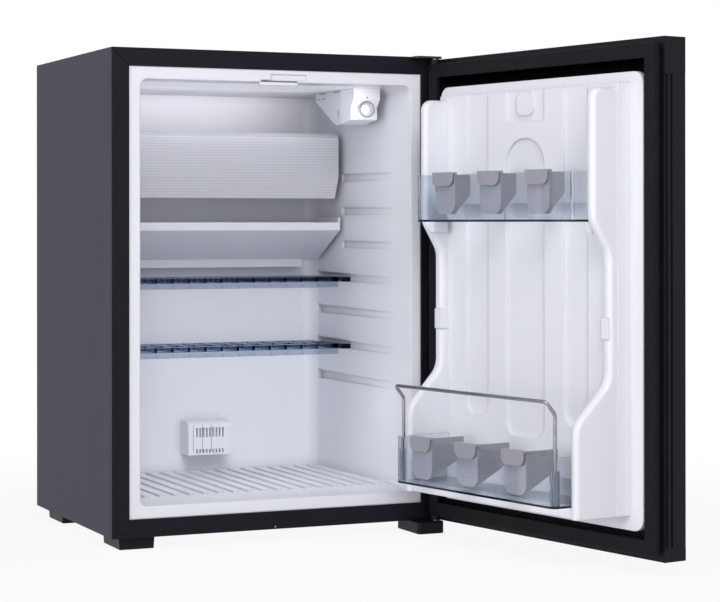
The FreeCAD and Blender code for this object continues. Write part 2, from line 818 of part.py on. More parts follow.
def hinges():
    plate_y = (f"{HINGE_Y} - hinge_plate_nose", "frame_depth")
    plate_x = (f"{SIDE} - hinge_plate_width", SIDE)
    plate = prism(
        "upper_plate", "XY", "cabinet_height - hinge_plate_thickness", "hinge_plate_thickness",
        rectangle(plate_x, plate_y),
    )
    soften(plate, "hinge_plate_nose / 2",
           lambda start, end: runs(start, end, "z") and near(start.y, plate_y[0]))
    upper_hole = rod(
        "upper_pin_hole", "pin_radius + press_clearance", "z",
        (HINGE_X, HINGE_Y, "cabinet_height - cut_overrun"), "2 * cut_overrun",
    )
    heads, seats = [], []
    for number, share in ((1, "hinge_screw_share"), (2, "(1 - hinge_screw_share)")):
        spot = (f"{SIDE} - hinge_plate_width * {share}", "frame_depth / 2", "cabinet_height - screw_head")
        heads.append(rod(f"hinge_screw_{number}", "screw_radius", "z", spot, "screw_head"))
        seats.append(rod(
            f"hinge_screw_seat_{number}", "screw_radius + press_clearance", "z", spot, "cut_overrun",
        ))
    on_cabinet(cut("upper_hinge", plate, upper_hole, *seats))
    on_cabinet(group("hinge_screws", *heads))
    foot_x = (f"{SIDE} - hinge_foot_width", SIDE)
    foot_y = (f"{HINGE_Y} - hinge_foot_nose", f"{HINGE_Y} - hinge_foot_nose + hinge_foot_length")
    block = prism("hinge_foot_block", "XY", "0 - foot_height", "foot_height", rectangle(foot_x, foot_y))
    soften(block, "hinge_foot_corner",
           lambda start, end: runs(start, end, "z") and near(start.y, foot_y[0]))
    lower_hole = rod(
        "lower_pin_hole", "pin_radius + press_clearance", "z", (HINGE_X, HINGE_Y, "0 - lower_pin_root"),
        "lower_pin_root + cut_overrun",
    )
    on_cabinet(cut("lower_hinge", block, lower_hole))
    upper_pin = rod(
        "upper_pin", "pin_radius", "z", (HINGE_X, HINGE_Y, f"{DOOR_TOP} - pin_depth"),
        f"cabinet_height - {DOOR_TOP} + pin_depth",
    )
    lower_pin = rod(
        "lower_pin", "pin_radius", "z", (HINGE_X, HINGE_Y, "0 - lower_pin_root"),
        f"lower_pin_root + {DOOR_BOTTOM} + pin_depth",
    )
    on_cabinet(group("hinge_pins", upper_pin, lower_pin))


# Fittings inside the cabinet

def evaporator():
    front = "evaporator_front"
    back = "(evaporator_front + evaporator_depth)"
    plate_back = "(evaporator_front + evaporator_plate)"
    low_front = "(evaporator_front + evaporator_setback)"
    low_back = f"({low_front} + evaporator_plate)"
    rear_plate = f"({back} - evaporator_plate)"
    half = "evaporator_width / 2"
    bottom, turn, top = "evaporator_bottom", "evaporator_break", "evaporator_top"
    body = prism(
        "evaporator", "YZ", f"0 - {half}", "evaporator_width",
        [(f"{front} + evaporator_bevel", top), (front, f"{top} - evaporator_bevel"), (front, turn),
         (low_front, bottom), (low_back, bottom), (plate_back, turn),
         (plate_back, f"{top} - evaporator_plate"), (rear_plate, f"{top} - evaporator_plate"),
         (rear_plate, bottom), (back, bottom), (back, top)],
    )
    pad(
        body, "YZ", f"0 - {half}", "fin_thickness",
        [(plate_back, f"{top} - evaporator_plate"), (rear_plate, f"{top} - evaporator_plate"),
         (rear_plate, bottom), (low_back, bottom), (plate_back, turn)],
    )
    repeat(body, "X", "(evaporator_width - fin_thickness) / (fin_count - 1)", "fin_count")
    pad(
        body, "XZ", f"{front} - evaporator_rib_height", "evaporator_rib_height",
        rectangle(both(half), (f"{turn} + evaporator_rib_width", f"{turn} + 2 * evaporator_rib_width")),
    )
    repeat(body, "Z", "evaporator_rib_pitch", "evaporator_rib_count")
    on_cabinet(body)
    tubes = []
    for side, sign in (("left", "0 -"), ("right", "")):
        start = (f"{sign} evaporator_tube_spread / 2", back, "evaporator_tube_level")
        tubes.append(rod(
            f"{side}_evaporator_tube", "evaporator_tube_radius", "y", start, f"{UNIT_FACE} - {back}",
        ))
    on_cabinet(group("evaporator_tubes", *tubes))
    plug = box(
        "plug_block", both("plug_width / 2"), ("cavity_depth + liner_wall", REAR),
        ("evaporator_tube_level - plug_height / 2", "evaporator_tube_level + plug_height / 2"),
    )
    on_cabinet(cut("rear_plug", plug, *tube_holes("plug")))
    plate = box(
        "plug_sheet", both("plug_width / 2 + plug_plate_margin"), (REAR, f"{REAR} + plug_plate_thickness"),
        ("evaporator_tube_level - plug_height / 2 - plug_plate_margin",
         "evaporator_tube_level + plug_height / 2 + plug_plate_margin"),
    )
    on_cabinet(cut("plug_plate", plate, *tube_holes("plate")))


def drip_tray():
    front, rear = "tray_front", "tray_rear"
    half = "tray_width / 2"
    sheet_outline = [
        (front, "tray_lip_top"), (front, "tray_lip_bottom"), (rear, "tray_rear_level"),
        (rear, "tray_rear_level + tray_wall"), (f"{front} + tray_wall", "tray_lip_bottom + tray_wall"),
        (f"{front} + tray_wall", "tray_lip_top"),
    ]
    body = prism("drip_tray", "YZ", f"0 - {half}", "tray_width", sheet_outline)
    end_outline = [
        (front, "tray_end_top"), (front, "tray_lip_bottom"), (rear, "tray_rear_level"),
        (rear, "tray_end_top"),
    ]
    for start in (f"0 - {half}", f"{half} - tray_wall"):
        pad(body, "YZ", start, "tray_wall", end_outline)
    foot_outline = [
        (f"{rear} - tray_wall", "tray_foot_level"), ("cavity_depth", "tray_foot_level"),
        ("cavity_depth", "tray_foot_level + tray_wall"), (rear, "tray_foot_level + tray_wall"),
        (rear, "tray_rear_level + tray_wall"), (f"{rear} - tray_wall", "tray_rear_level + tray_wall"),
    ]
    pad(body, "YZ", "0 - tray_foot_width / 2", "tray_foot_width", foot_outline)
    on_cabinet(body)


def control():
    left = "(control_right - control_width)"
    middle = "(control_right - control_width / 2)"
    face = "(control_front + control_face_setback)"
    split = "(control_front + control_split)"
    belly = "(control_front + control_belly_reach)"
    tail = "(control_front + control_tail_reach)"
    split_level = (
        f"(control_chin - (control_chin - control_belly) * ({split} - {face}) / ({belly} - {face}))"
    )
    housing = prism(
        "control_block", "YZ", left, "control_width",
        [("control_front", "cavity_top"), ("control_front", "control_brow"), (face, "control_face_top"),
         (face, "control_chin"), (split, split_level), (split, "cavity_top")],
    )
    floor = f"({face} + well_depth)"
    well = rod(
        "knob_well", "well_radius", "y", (middle, "control_front - cut_overrun", "knob_level"),
        f"{floor} - control_front + cut_overrun",
    )
    hole = rod(
        "spindle_hole", "spindle_radius + pin_clearance", "y", (middle, "control_front", "knob_level"),
        f"{floor} + spindle_length - control_front",
    )
    on_cabinet(cut("control_housing", housing, well, hole))
    cover = prism(
        "lamp_cover", "YZ", left, "control_width",
        [(split, split_level), (belly, "control_belly"), (tail, "control_tail_low"), (tail, "cavity_top"),
         (split, "cavity_top")],
    )
    slot_y = f"({split} + lamp_slot_setback)"
    slot_z = "(control_belly + lamp_slot_rise)"
    pocket(
        cover, "YZ", left, "lamp_slot_depth",
        rectangle((slot_y, f"{slot_y} + lamp_slot_width"), (slot_z, f"{slot_z} + lamp_slot_height")),
    )
    on_cabinet(cover)
    skirt_front = f"{floor} - knob_gap - knob_skirt_height"
    skirt = rod(
        "knob_skirt", "knob_radius", "y", (middle, skirt_front, "knob_level"), "knob_skirt_height",
    )
    grip = doc.addObject("Part::Cone", "knob_grip")
    grip.Placement.Rotation = FreeCAD.Rotation(FreeCAD.Vector(1, 0, 0), 90)
    for side, text in (
        ("Radius1", "knob_radius"), ("Radius2", "knob_tip_radius"), ("Height", "knob_grip_height"),
    ):
        grip.setExpression(side, linked(text))
    place(grip, middle, skirt_front, "knob_level")
    spindle = rod(
        "knob_spindle", "spindle_radius", "y", (middle, f"{floor} - knob_gap", "knob_level"),
        "spindle_length",
    )
    on_cabinet(fuse("thermostat_knob", skirt, grip, spindle))


def vented_box():
    right = "(vent_width - vent_left)"
    front = "(cavity_depth - vent_depth)"
    top = "(vent_bottom + vent_height)"
    body = prism(
        "vent_box", "XZ", front, "vent_depth", rectangle(("0 - vent_left", right), ("vent_bottom", top)),
    )
    soften(
        body, "vent_corner",
        lambda start, end: all(near(point.y, front) and near(point.z, top) for point in (start, end)),
    )
    slot_left = "(vent_slot_margin - vent_left)"
    slot_x = (slot_left, f"{slot_left} + vent_slot_width")
    high_top = f"({top} - vent_corner)"
    low_bottom = "(vent_bottom + vent_slot_width)"
    pocket(
        body, "XZ", front, "vent_slot_depth",
        rectangle(slot_x, (f"{high_top} - vent_slot_height", high_top)),
        rectangle(slot_x, (low_bottom, f"{low_bottom} + vent_low_slot_height")),
    )
    repeat(body, "X", "vent_slot_pitch", "vent_slot_count")
    on_cabinet(body)


def shelf(name, groove):
    tab = f"({GROOVE_PLANE} - shelf_side_gap)"
    arm = "shelf_arm_width / 2"
    rear_side = "shelf_rear_width / 2"
    rear = "(cavity_depth - shelf_rear_gap)"
    low = f"(groove_first + {groove} * groove_pitch + shelf_rise)"
    body = prism(
        name, "XY", low, "shelf_thickness",
        [(f"0 - {tab}", "shelf_tab_front"), (f"0 - {arm}", "shelf_tab_front"), (f"0 - {arm}", "shelf_front"),
         (arm, "shelf_front"), (arm, "shelf_tab_front"), (tab, "shelf_tab_front"), (tab, "shelf_tab_rear"),
         (rear_side, "shelf_tab_rear"), (rear_side, rear), (f"0 - {rear_side}", rear),
         (f"0 - {rear_side}", "shelf_tab_rear"), (f"0 - {tab}", "shelf_tab_rear")],
    )
    pad(
        body, "XZ", "shelf_front", "shelf_apron_thickness",
        rectangle(both(arm), (f"{low} - shelf_apron_drop", f"{low} + shelf_thickness / 2")),
    )
    soften(body, "shelf_corner",
           lambda start, end: runs(start, end, "z") and near(start.y, rear) and near(end.y, rear))
    first = "(0 - (shelf_slot_count - 1) * shelf_slot_pitch / 2)"
    slot_x = (f"{first} - shelf_slot_width / 2", f"{first} + shelf_slot_width / 2")
    middle = f"((shelf_front + {rear}) / 2)"
    pocket(
        body, "XY", f"{low} - cut_overrun", "shelf_thickness + 2 * cut_overrun",
        rectangle(slot_x, ("shelf_front + shelf_rim", f"{middle} - shelf_bar / 2")),
        rectangle(slot_x, (f"{middle} + shelf_bar / 2", f"{rear} - shelf_rim")),
    )
    repeat(body, "X", "shelf_slot_pitch", "shelf_slot_count")
    tick = "(shelf_slot_pitch / 2 + shelf_tick_width / 2)"
    pad(
        body, "XZ", "shelf_front - shelf_tick_rise", "shelf_tick_rise",
        rectangle((f"{first} - {tick}", f"{first} - {tick} + shelf_tick_width"),
                  (f"{low} - shelf_apron_drop", f"{low} - shelf_apron_drop + shelf_tick_height")),
    )
    repeat(body, "X", "shelf_slot_pitch", "shelf_slot_count + 1")
    on_cabinet(body)


# Cooling unit

def cooling_unit():
    brackets = []
    for label, level in (("lower", "lower_bracket_level"), ("upper", "upper_bracket_level")):
        brackets.append(prism(
            f"{label}_bracket", "YZ", "0 - bracket_width / 2", "bracket_width",
            [(REAR, level), (UNIT_FACE, level), (UNIT_FACE, f"{level} + bracket_height"),
             (f"{UNIT_FACE} - bracket_wall", f"{level} + bracket_height"),
             (f"{UNIT_FACE} - bracket_wall", f"{level} + bracket_wall"), (REAR, f"{level} + bracket_wall")],
        ))
    on_cabinet(group("unit_brackets", *brackets))

    boiler_x = ("boiler_left", "boiler_left + boiler_width")
    boiler = prism(
        "boiler_casing", "XY", "boiler_bottom", "boiler_height", rectangle(boiler_x, (UNIT_FACE, UNIT_REAR)),
    )
    soften(boiler, "boiler_corner", lambda start, end: runs(start, end, "z") and near(start.y, UNIT_REAR))
    on_cabinet(boiler)

    vessel = rod(
        "vessel", "vessel_radius", "x", ("0 - vessel_left", UNIT_PLANE, "vessel_level"), "vessel_length",
    )
    on_cabinet(bevel_ends("absorber_vessel", vessel, "vessel_bevel"))
    coil_right = "(coil_width - coil_left)"
    coil_ends = ["0 - coil_left", coil_right]
    points = [("0 - coil_left", UNIT_PLANE, "vessel_level + vessel_radius")]
    for run in range(int(size("coil_runs"))):
        level = f"coil_first + {run} * coil_pitch"
        for end in coil_ends if run % 2 == 0 else coil_ends[::-1]:
            points.append((end, UNIT_PLANE, level))
    on_cabinet(tube("absorber_coil", points, "pipe_radius", "pipe_bend"))

    condenser_end = "(0 - condenser_width / 2)"
    boiler_middle = "(boiler_left + boiler_width / 2)"
    left_tube = "(0 - evaporator_tube_spread / 2)"
    right_tube = "evaporator_tube_spread / 2"
    boiler_top = "(boiler_bottom + boiler_height)"
    on_cabinet(tube(
        "vapour_pipe",
        [(boiler_middle, UNIT_PLANE, boiler_top), (boiler_middle, UNIT_PLANE, "condenser_level"),
         (condenser_end, UNIT_PLANE, "condenser_level"), (condenser_end, UNIT_PLANE, "evaporator_tube_level"),
         (left_tube, UNIT_PLANE, "evaporator_tube_level"), (left_tube, UNIT_FACE, "evaporator_tube_level")],
        "pipe_radius", "pipe_bend",
    ))
    coil_top = points[-1][2]
    on_cabinet(tube(
        "return_pipe",
        [(right_tube, UNIT_FACE, "evaporator_tube_level"), (right_tube, UNIT_PLANE, "evaporator_tube_level"),
         (right_tube, UNIT_PLANE, coil_top), (coil_right, UNIT_PLANE, coil_top)],
        "pipe_radius", "pipe_bend",
    ))
    vessel_right = "(vessel_length - vessel_left)"
    on_cabinet(tube(
        "solution_pipe",
        [(vessel_right, UNIT_PLANE, "vessel_level"), ("boiler_left", UNIT_PLANE, "vessel_level")],
        "pipe_radius", "pipe_bend",
    ))

    fins = prism(
        "fin_sheets", "YZ", "0 - condenser_fin_left", "condenser_fin_thickness",
        rectangle(
            (f"{UNIT_PLANE} - condenser_fin_width / 2", f"{UNIT_PLANE} + condenser_fin_width / 2"),
            ("condenser_level - condenser_fin_height / 2", "condenser_level + condenser_fin_height / 2"),
        ),
    )
    repeat(fins, "X", "condenser_fin_pitch", "condenser_fin_count")
    bore_start = "(0 - condenser_fin_left - cut_overrun)"
    bore = tube(
        "fin_bore",
        [(bore_start, UNIT_PLANE, "condenser_level"),
         (f"{bore_start} + condenser_fin_count * condenser_fin_pitch + 2 * cut_overrun", UNIT_PLANE,
          "condenser_level")],
        "(pipe_radius + press_clearance) / cos(180 deg / tube_sides)", "pipe_bend",
    )
    on_cabinet(cut("condenser_fins", fins, bore))

    case = box(
        "terminal_case", ("0 - terminal_left", "terminal_width - terminal_left"),
        (REAR, f"{REAR} + terminal_depth"), ("terminal_bottom", "terminal_bottom + terminal_height"),
    )
    inlet_spot = (
        "0 - terminal_left - inlet_length", f"{REAR} + terminal_depth / 2",
        "terminal_bottom + terminal_height / 2",
    )
    collar = rod("inlet_collar", "inlet_radius + inlet_wall", "x", inlet_spot, "inlet_length + inlet_wall")
    passage = rod("inlet_passage", "inlet_radius", "x", inlet_spot, "inlet_length + inlet_wall")
    on_cabinet(cut("terminal_box", fuse("terminal_form", case, collar), passage))


def bevel_ends(name, drum, reach):
    """The drum with its two rims bevelled."""
    doc.recompute()
    rims = [number for number, edge in enumerate(drum.Shape.Edges, 1) if edge.isClosed()]
    result = doc.addObject("Part::Chamfer", name)
    result.Base = drum
    result.Edges = [(number, size(reach), size(reach)) for number in rims]
    return result


def screws():
    plate_x = "(plug_width / 2 + plug_plate_margin / 2)"
    plate_z = "(plug_height / 2 + plug_plate_margin / 2)"
    heads = []
    for number, (across, up) in enumerate((("-", "-"), ("+", "-"), ("+", "+"), ("-", "+")), 1):
        start = (f"0 {across} {plate_x}", f"{REAR} + plug_plate_thickness",
                 f"evaporator_tube_level {up} {plate_z}")
        heads.append(rod(f"plate_screw_{number}", "screw_radius", "y", start, "screw_head"))
    on_cabinet(group("plate_screws", *heads))


# Door

def rise(text):
    """A depth on the door's inner side, towards the cabinet."""
    return f"({INNER} + {text})"


def door_shell():
    cap_low = f"({DOOR_TOP} - cap_end_height)"
    rail_low = f"({DOOR_TOP} - cap_rail)"
    sill = f"({DOOR_BOTTOM} + bottom_cap_height)"
    left, inner_left = f"0 - {DOOR_SIDE}", f"0 - {PROFILE_EDGE}"
    top = prism(
        "top_cap_block", "XZ", OUTER, "door_thickness",
        [(left, DOOR_TOP), (left, cap_low), (inner_left, cap_low), (inner_left, rail_low),
         (PROFILE_EDGE, rail_low), (PROFILE_EDGE, cap_low), (DOOR_SIDE, cap_low), (DOOR_SIDE, DOOR_TOP)],
    )
    bottom = prism(
        "bottom_cap_block", "XZ", OUTER, "door_thickness", rectangle(both(DOOR_SIDE), (DOOR_BOTTOM, sill)),
    )
    bushes = []
    for name, cap, low in (("top", top, f"{DOOR_TOP} - ear_thickness"), ("bottom", bottom, DOOR_BOTTOM)):
        spot = (HINGE_X, HINGE_Y, low)
        ear = rod(f"{name}_ear", "ear_radius", "z", spot, "ear_thickness")
        seat = rod(f"{name}_seat", "pin_radius + pin_clearance + bush_wall + press_clearance", "z", spot,
                   "ear_thickness")
        on_door(cut(f"{name}_cap", fuse(f"{name}_cap_form", cap, ear), seat))
        sleeve = rod(f"{name}_sleeve", "pin_radius + pin_clearance + bush_wall", "z", spot, "ear_thickness")
        bore = rod(f"{name}_bore", "pin_radius + pin_clearance", "z", spot, "ear_thickness")
        bushes.append(cut(f"{name}_bush", sleeve, bore))
    on_door(group("hinge_bushes", *bushes))

    for name, sign in (("handle_profile", "0 -"), ("hinge_profile", "")):
        outline = [(f"{sign} {PROFILE_EDGE}", OUTER), (f"{sign} {DOOR_SIDE}", OUTER)]
        for start in ("profile_groove_second", "profile_groove_first"):
            near_edge = f"{INNER} - {start}"
            far_edge = f"{INNER} - {start} + profile_groove_width"
            floor = f"{sign} ({DOOR_SIDE} - profile_groove_depth)"
            outline += [(f"{sign} {DOOR_SIDE}", near_edge), (floor, near_edge), (floor, far_edge),
                        (f"{sign} {DOOR_SIDE}", far_edge)]
        outline += [(f"{sign} {DOOR_SIDE}", INNER), (f"{sign} {PROFILE_EDGE}", INNER)]
        on_door(prism(name, "XY", sill, f"{cap_low} - {sill}", outline))

    on_door(prism(
        "door_skin", "XZ", OUTER, "door_skin_thickness", rectangle(both(PROFILE_EDGE), (sill, rail_low)),
    ))
    core = liner_form("door_core", "liner_wall", f"{INNER} - liner_wall - cut_overrun")
    slab = box("door_slab", both(PROFILE_EDGE), (BEHIND_SKIN, f"{INNER} - liner_wall"), (sill, rail_low))
    on_door(fuse("door_foam", slab, core))
    form = liner_form("door_form", "0", f"{INNER} - liner_wall")
    dress(form)
    flange = box("door_flange", both(PROFILE_EDGE), (f"{INNER} - liner_wall", INNER), (sill, rail_low))
    on_door(cut("door_liner", fuse("door_liner_form", form, flange), core))


def gasket():
    rings = []
    levels = (
        ("foot", "0", "gasket_foot_height", "gasket_foot_width"),
        ("neck", "gasket_foot_height", "gasket_foot_height + gasket_neck_height", "gasket_neck_width"),
        ("bulb", "gasket_foot_height + gasket_neck_height", "gasket_thickness", "gasket_width"),
    )
    for name, low, high, width in levels:
        inset = f"(gasket_width - {width}) / 2"
        outer_x = f"({DOOR_SIDE} - gasket_side_margin - {inset})"
        low_z = f"({DOOR_BOTTOM} + gasket_end_margin + {inset})"
        high_z = f"({DOOR_TOP} - gasket_end_margin - {inset})"
        rings.append(prism(
            f"gasket_{name}", "XZ", rise(low), f"{high} - ({low})",
            rectangle(both(outer_x), (low_z, high_z)),
            rectangle(both(f"{outer_x} - {width}"), (f"{low_z} + {width}", f"{high_z} - {width}")),
        ))
    on_door(fuse("door_gasket", *rings))


def liner_form(name, inset, base):
    """The raised inner side of the door: a step, a panel and two walls whose rise changes along them."""
    body = prism(
        name, "XZ", base, f"{rise('step_rise')} - {inset} - ({base})",
        rectangle(both(f"(step_width / 2 - {inset})"), (f"step_bottom + {inset}", f"step_top - {inset}")),
    )
    soften(body, f"step_corner - {inset}", lambda start, end: runs(start, end, "y"))
    panel_rise = "panel_rise" if inset == "0" else f"panel_rise - recess_depth - {inset}"
    pad(
        body, "XZ", base, f"{rise(panel_rise)} - ({base})",
        rectangle(both(f"(wall_outer_width / 2 - {inset})"),
                  (f"dyke_bottom + {inset}", f"panel_top - {inset}")),
    )
    outlines = []
    for sign in ("0 -", ""):
        outlines.append([
            (f"{sign} (wall_inner_width / 2 + {inset})", base),
            (f"{sign} (wall_inner_width / 2 + {inset})", f"{rise('low_wall_rise')} - {inset}"),
            (f"{sign} (wall_outer_width / 2 - wall_draft - {inset})", f"{rise('low_wall_rise')} - {inset}"),
            (f"{sign} (wall_outer_width / 2 - {inset})", base),
        ])
    pad(body, "XY", f"dyke_bottom + {inset}", f"dyke_top - dyke_bottom - 2 * {inset}", *outlines)
    low, middle, top = (
        f"({rise(text)} - {inset})" for text in ("low_wall_rise", "mid_wall_rise", "top_wall_rise")
    )
    beyond = f"({low} + cut_overrun)"
    above = "(dyke_top + cut_overrun)"
    pocket(
        body, "YZ", "0 - wall_outer_width / 2 - cut_overrun", "wall_outer_width + 2 * cut_overrun",
        [(low, "low_zone_top"), (middle, "mid_zone_bottom"), (middle, "mid_zone_top"),
         (top, "top_zone_bottom"), (top, above), (beyond, above), (beyond, "low_zone_top")],
    )
    turns = {(low, "low_zone_top"), (middle, "mid_zone_bottom"), (middle, "mid_zone_top"),
             (top, "top_zone_bottom")}
    soften(
        body, "flare_radius",
        lambda start, end: any(
            all(near(point.y, across) and near(point.z, up) for point in (start, end)) for across, up in turns
        ),
    )
    end = f"(dyke_top - {inset})"
    soften(
        body, f"dyke_corner - {inset}",
        lambda start, last: all(near(point.y, top) and near(point.z, end) for point in (start, last)),
    )
    if inset == "0":
        soften(
            body, "wall_edge",
            lambda start, end: min(start.y, end.y) > size(middle) - MATCH and runs(start, end, "z"),
        )
    ledge_top = f"({rise('low_wall_rise')} - wall_edge - {inset})"
    pad(
        body, "XZ", base, f"{ledge_top} - ({base})",
        rectangle(both("(wall_inner_width / 2 + liner_wall)"),
                  (f"dyke_bottom + {inset}", f"lower_rack_bottom - {inset}")),
    )
    return body


def dress(body):
    """The recesses in the panel and the lugs on the walls."""
    floor = rise("panel_rise - recess_depth")
    reach = "recess_depth + cut_overrun"
    side_inner = "(side_recess_offset - side_recess_width / 2)"
    side_outer = "(side_recess_offset + side_recess_width / 2)"
    tall = ("side_recess_bottom", "panel_top + cut_overrun")
    pocket(
        body, "XZ", floor, reach,
        rectangle((f"0 - {side_outer}", f"0 - {side_inner}"), tall),
        rectangle((side_inner, side_outer), tall),
    )
    pocket(
        body, "XZ", floor, reach,
        rectangle(both("mid_recess_width / 2"), ("mid_recess_bottom", "mid_recess_top")),
    )
    soften(
        body, "recess_corner",
        lambda start, end: runs(start, end, "y") and any(
            near(start.z, low) and near(end.z, low) and abs(abs(start.x) - size(side)) < MATCH
            for low, side in (
                ("side_recess_bottom", side_inner), ("side_recess_bottom", side_outer),
                ("mid_recess_bottom", "mid_recess_width / 2"),
            )
        ),
    )
    soften(
        body, "arch_radius",
        lambda start, end: runs(start, end, "y") and near(start.z, "mid_recess_top")
        and near(end.z, "mid_recess_top"),
    )
    pocket(
        body, "XZ", floor, reach,
        rectangle(both("crest_width / 2"), ("crest_bottom", "panel_top + cut_overrun")),
    )
    pad(
        body, "XZ", floor, "recess_depth",
        rectangle(both("boss_width / 2"), ("boss_level - boss_height / 2", "boss_level + boss_height / 2")),
    )
    soften(
        body, "boss_width / 3",
        lambda start, end: runs(start, end, "y") and abs(abs(start.x) - size("boss_width / 2")) < MATCH
        and abs(abs(start.z - size("boss_level")) - size("boss_height / 2")) < MATCH,
    )
    inner = "wall_inner_width / 2"
    lug_inner = f"({inner} - lug_reach)"
    lug_outer = f"({inner} + liner_wall)"
    lug_z = ("upper_rack_bottom - lug_height", "upper_rack_bottom")
    spare_z = ("spare_lug_bottom", "spare_lug_bottom + spare_lug_height")
    spare_inner = f"({inner} - spare_lug_reach)"
    spare_outer = f"({spare_inner} + spare_lug_width)"
    pad(
        body, "XZ", rise("panel_rise + lug_setback"), "lug_depth",
        rectangle((f"0 - {lug_outer}", f"0 - {lug_inner}"), lug_z),
        rectangle((lug_inner, lug_outer), lug_z),
    )
    pad(
        body, "XZ", rise("panel_rise"), "mid_wall_rise + spare_lug_rise - panel_rise",
        rectangle((f"0 - {spare_outer}", f"0 - {spare_inner}"), spare_z),
        rectangle((spare_inner, spare_outer), spare_z),
    )


def rack(name, front, bottom):
    """An open tray with a low back."""
    half = "(wall_inner_width / 2 - rack_side_gap)"
    inner_half = f"({half} - rack_wall)"
    back = rise("panel_rise + rack_back_gap")
    face = rise(front)
    top = f"({bottom} + rack_height)"
    body = prism(name, "XY", bottom, "rack_height", rectangle(both(half), (back, face)))
    soften(body, "rack_corner", lambda start, end: runs(start, end, "z") and near(start.y, face))
    inner_face = f"({face} - rack_wall)"
    pocket(
        body, "XY", f"{bottom} + rack_wall", "rack_height",
        rectangle(both(inner_half), (f"{back} + rack_wall", inner_face)),
    )
    soften(body, "rack_corner - rack_wall",
           lambda start, end: runs(start, end, "z") and near(start.y, inner_face) and near(end.y, inner_face))
    pocket(
        body, "XZ", f"{back} - cut_overrun", "rack_wall + 2 * cut_overrun",
        rectangle(both(inner_half), (f"{bottom} + rack_back_height", f"{top} + cut_overrun")),
    )
    return body


def racks():
    on_door(rack("upper_rack", "upper_rack_front", "upper_rack_bottom"))
    tray = rack("lower_tray", "lower_rack_front", "lower_rack_bottom")
    posts = []
    holes = []
    socket_bottom = "(lower_rack_bottom + rack_wall)"
    for side, sign in (("left", "0 -"), ("right", "")):
        across = f"{sign} bail_half_width"
        deep = rise("lower_rack_front - bail_setback")
        posts.append(rod(f"{side}_socket", "bail_radius + pin_clearance + bail_socket_wall", "z",
                         (across, deep, "lower_rack_bottom"), "rack_wall + bail_socket_depth"))
        holes.append(rod(f"{side}_socket_hole", "bail_radius + press_clearance", "z",
                         (across, deep, socket_bottom), "rack_height"))
    on_door(cut("lower_rack", fuse("lower_rack_form", tray, *posts), *holes))
    post_y = rise("lower_rack_front - bail_setback")
    bar_y = rise("lower_rack_front + bail_lead")
    bar_z = "(lower_rack_bottom + rack_height + bail_height)"
    shoulder = f"{bar_z} - bail_shoulder"
    on_door(tube(
        "bottle_bail",
        [("0 - bail_half_width", post_y, socket_bottom), ("0 - bail_half_width", post_y, shoulder),
         ("0 - bail_half_width", bar_y, bar_z), ("bail_half_width", bar_y, bar_z),
         ("bail_half_width", post_y, shoulder), ("bail_half_width", post_y, socket_bottom)],
        "bail_radius", "bail_bend",
    ))


def clip(name, middle, front, bottom, fin_back):
    """A J-shaped clip over the front of a rack, with a fin that runs back between the bottles."""
    face = rise(front)
    top = f"({bottom} + rack_height)"
    tab_front = f"({face} + clip_gap + clip_wall)"
    tab_back = f"({face} + clip_gap)"
    tongue_front = f"({face} - rack_wall - clip_gap)"
    tongue_back = f"({face} - rack_wall - clip_gap - clip_wall)"
    bridge_low = f"({top} + clip_gap)"
    bridge_top = f"({top} + clip_gap + clip_wall)"
    tab_low = f"({top} - clip_tab_drop)"
    tongue_low = f"({top} - clip_tongue_drop)"
    body = prism(
        name, "YZ", f"{middle} - clip_width / 2", "clip_width",
        [(tab_front, tab_low), (tab_front, bridge_top), (tongue_back, bridge_top), (tongue_back, tongue_low),
         (tongue_front, tongue_low), (tongue_front, bridge_low), (tab_back, bridge_low), (tab_back, tab_low)],
    )
    soften(body, "clip_corner",
           lambda start, end: runs(start, end, "y") and near(start.z, tongue_low) and near(end.z, tongue_low))
    soften(body, "clip_tab_corner",
           lambda start, end: runs(start, end, "y") and near(start.z, tab_low) and near(end.z, tab_low))
    pad(
        body, "YZ", f"{middle} - clip_wall / 2", "clip_wall",
        [(tongue_front, f"{tongue_low} + clip_corner"), (tongue_front, bridge_low),
         (rise(fin_back), bridge_low), (rise(fin_back), f"{top} - clip_fin_drop"),
         (f"{face} - clip_fin_foot", f"{tongue_low} + clip_gap"), (tongue_back, f"{tongue_low} + clip_gap"),
         (tongue_back, f"{tongue_low} + clip_corner")],
    )
    on_door(body)


def clips():
    for row, front, bottom, fin_back in (
        ("upper", "upper_rack_front", "upper_rack_bottom", "upper_fin_back"),
        ("lower", "lower_rack_front", "lower_rack_bottom", "lower_fin_back"),
    ):
        for number in range(3):
            middle = f"({row}_clip_middle + {1 - number} * clip_pitch)"
            clip(f"{row}_clip_{number + 1}", middle, front, bottom, fin_back)


cabinet_shell()
front_frame()
feet()
hinges()
evaporator()
drip_tray()
control()
vented_box()
shelf("shelf_upper", "upper_shelf_groove")
shelf("shelf_lower", "lower_shelf_groove")
cooling_unit()
screws()
door_shell()
gasket()
racks()
clips()
doc.recompute()

for thing in doc.Objects:
    if "Invalid" in thing.State or "Error" in thing.State:
        raise RuntimeError(f"{thing.Label} could not be built")
os.makedirs("parts", exist_ok=True)
for label, thing in nodes.items():
    if thing.Shape.isNull() or not thing.Shape.isValid():
        raise RuntimeError(f"{label} has no valid shape")
    thing.Shape.exportStep(f"parts/{label}.step")
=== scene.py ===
"""Looks of a compact minibar fridge with its door open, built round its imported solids."""

import json
import math

import bmesh
import bpy
from mathutils import Matrix, Vector


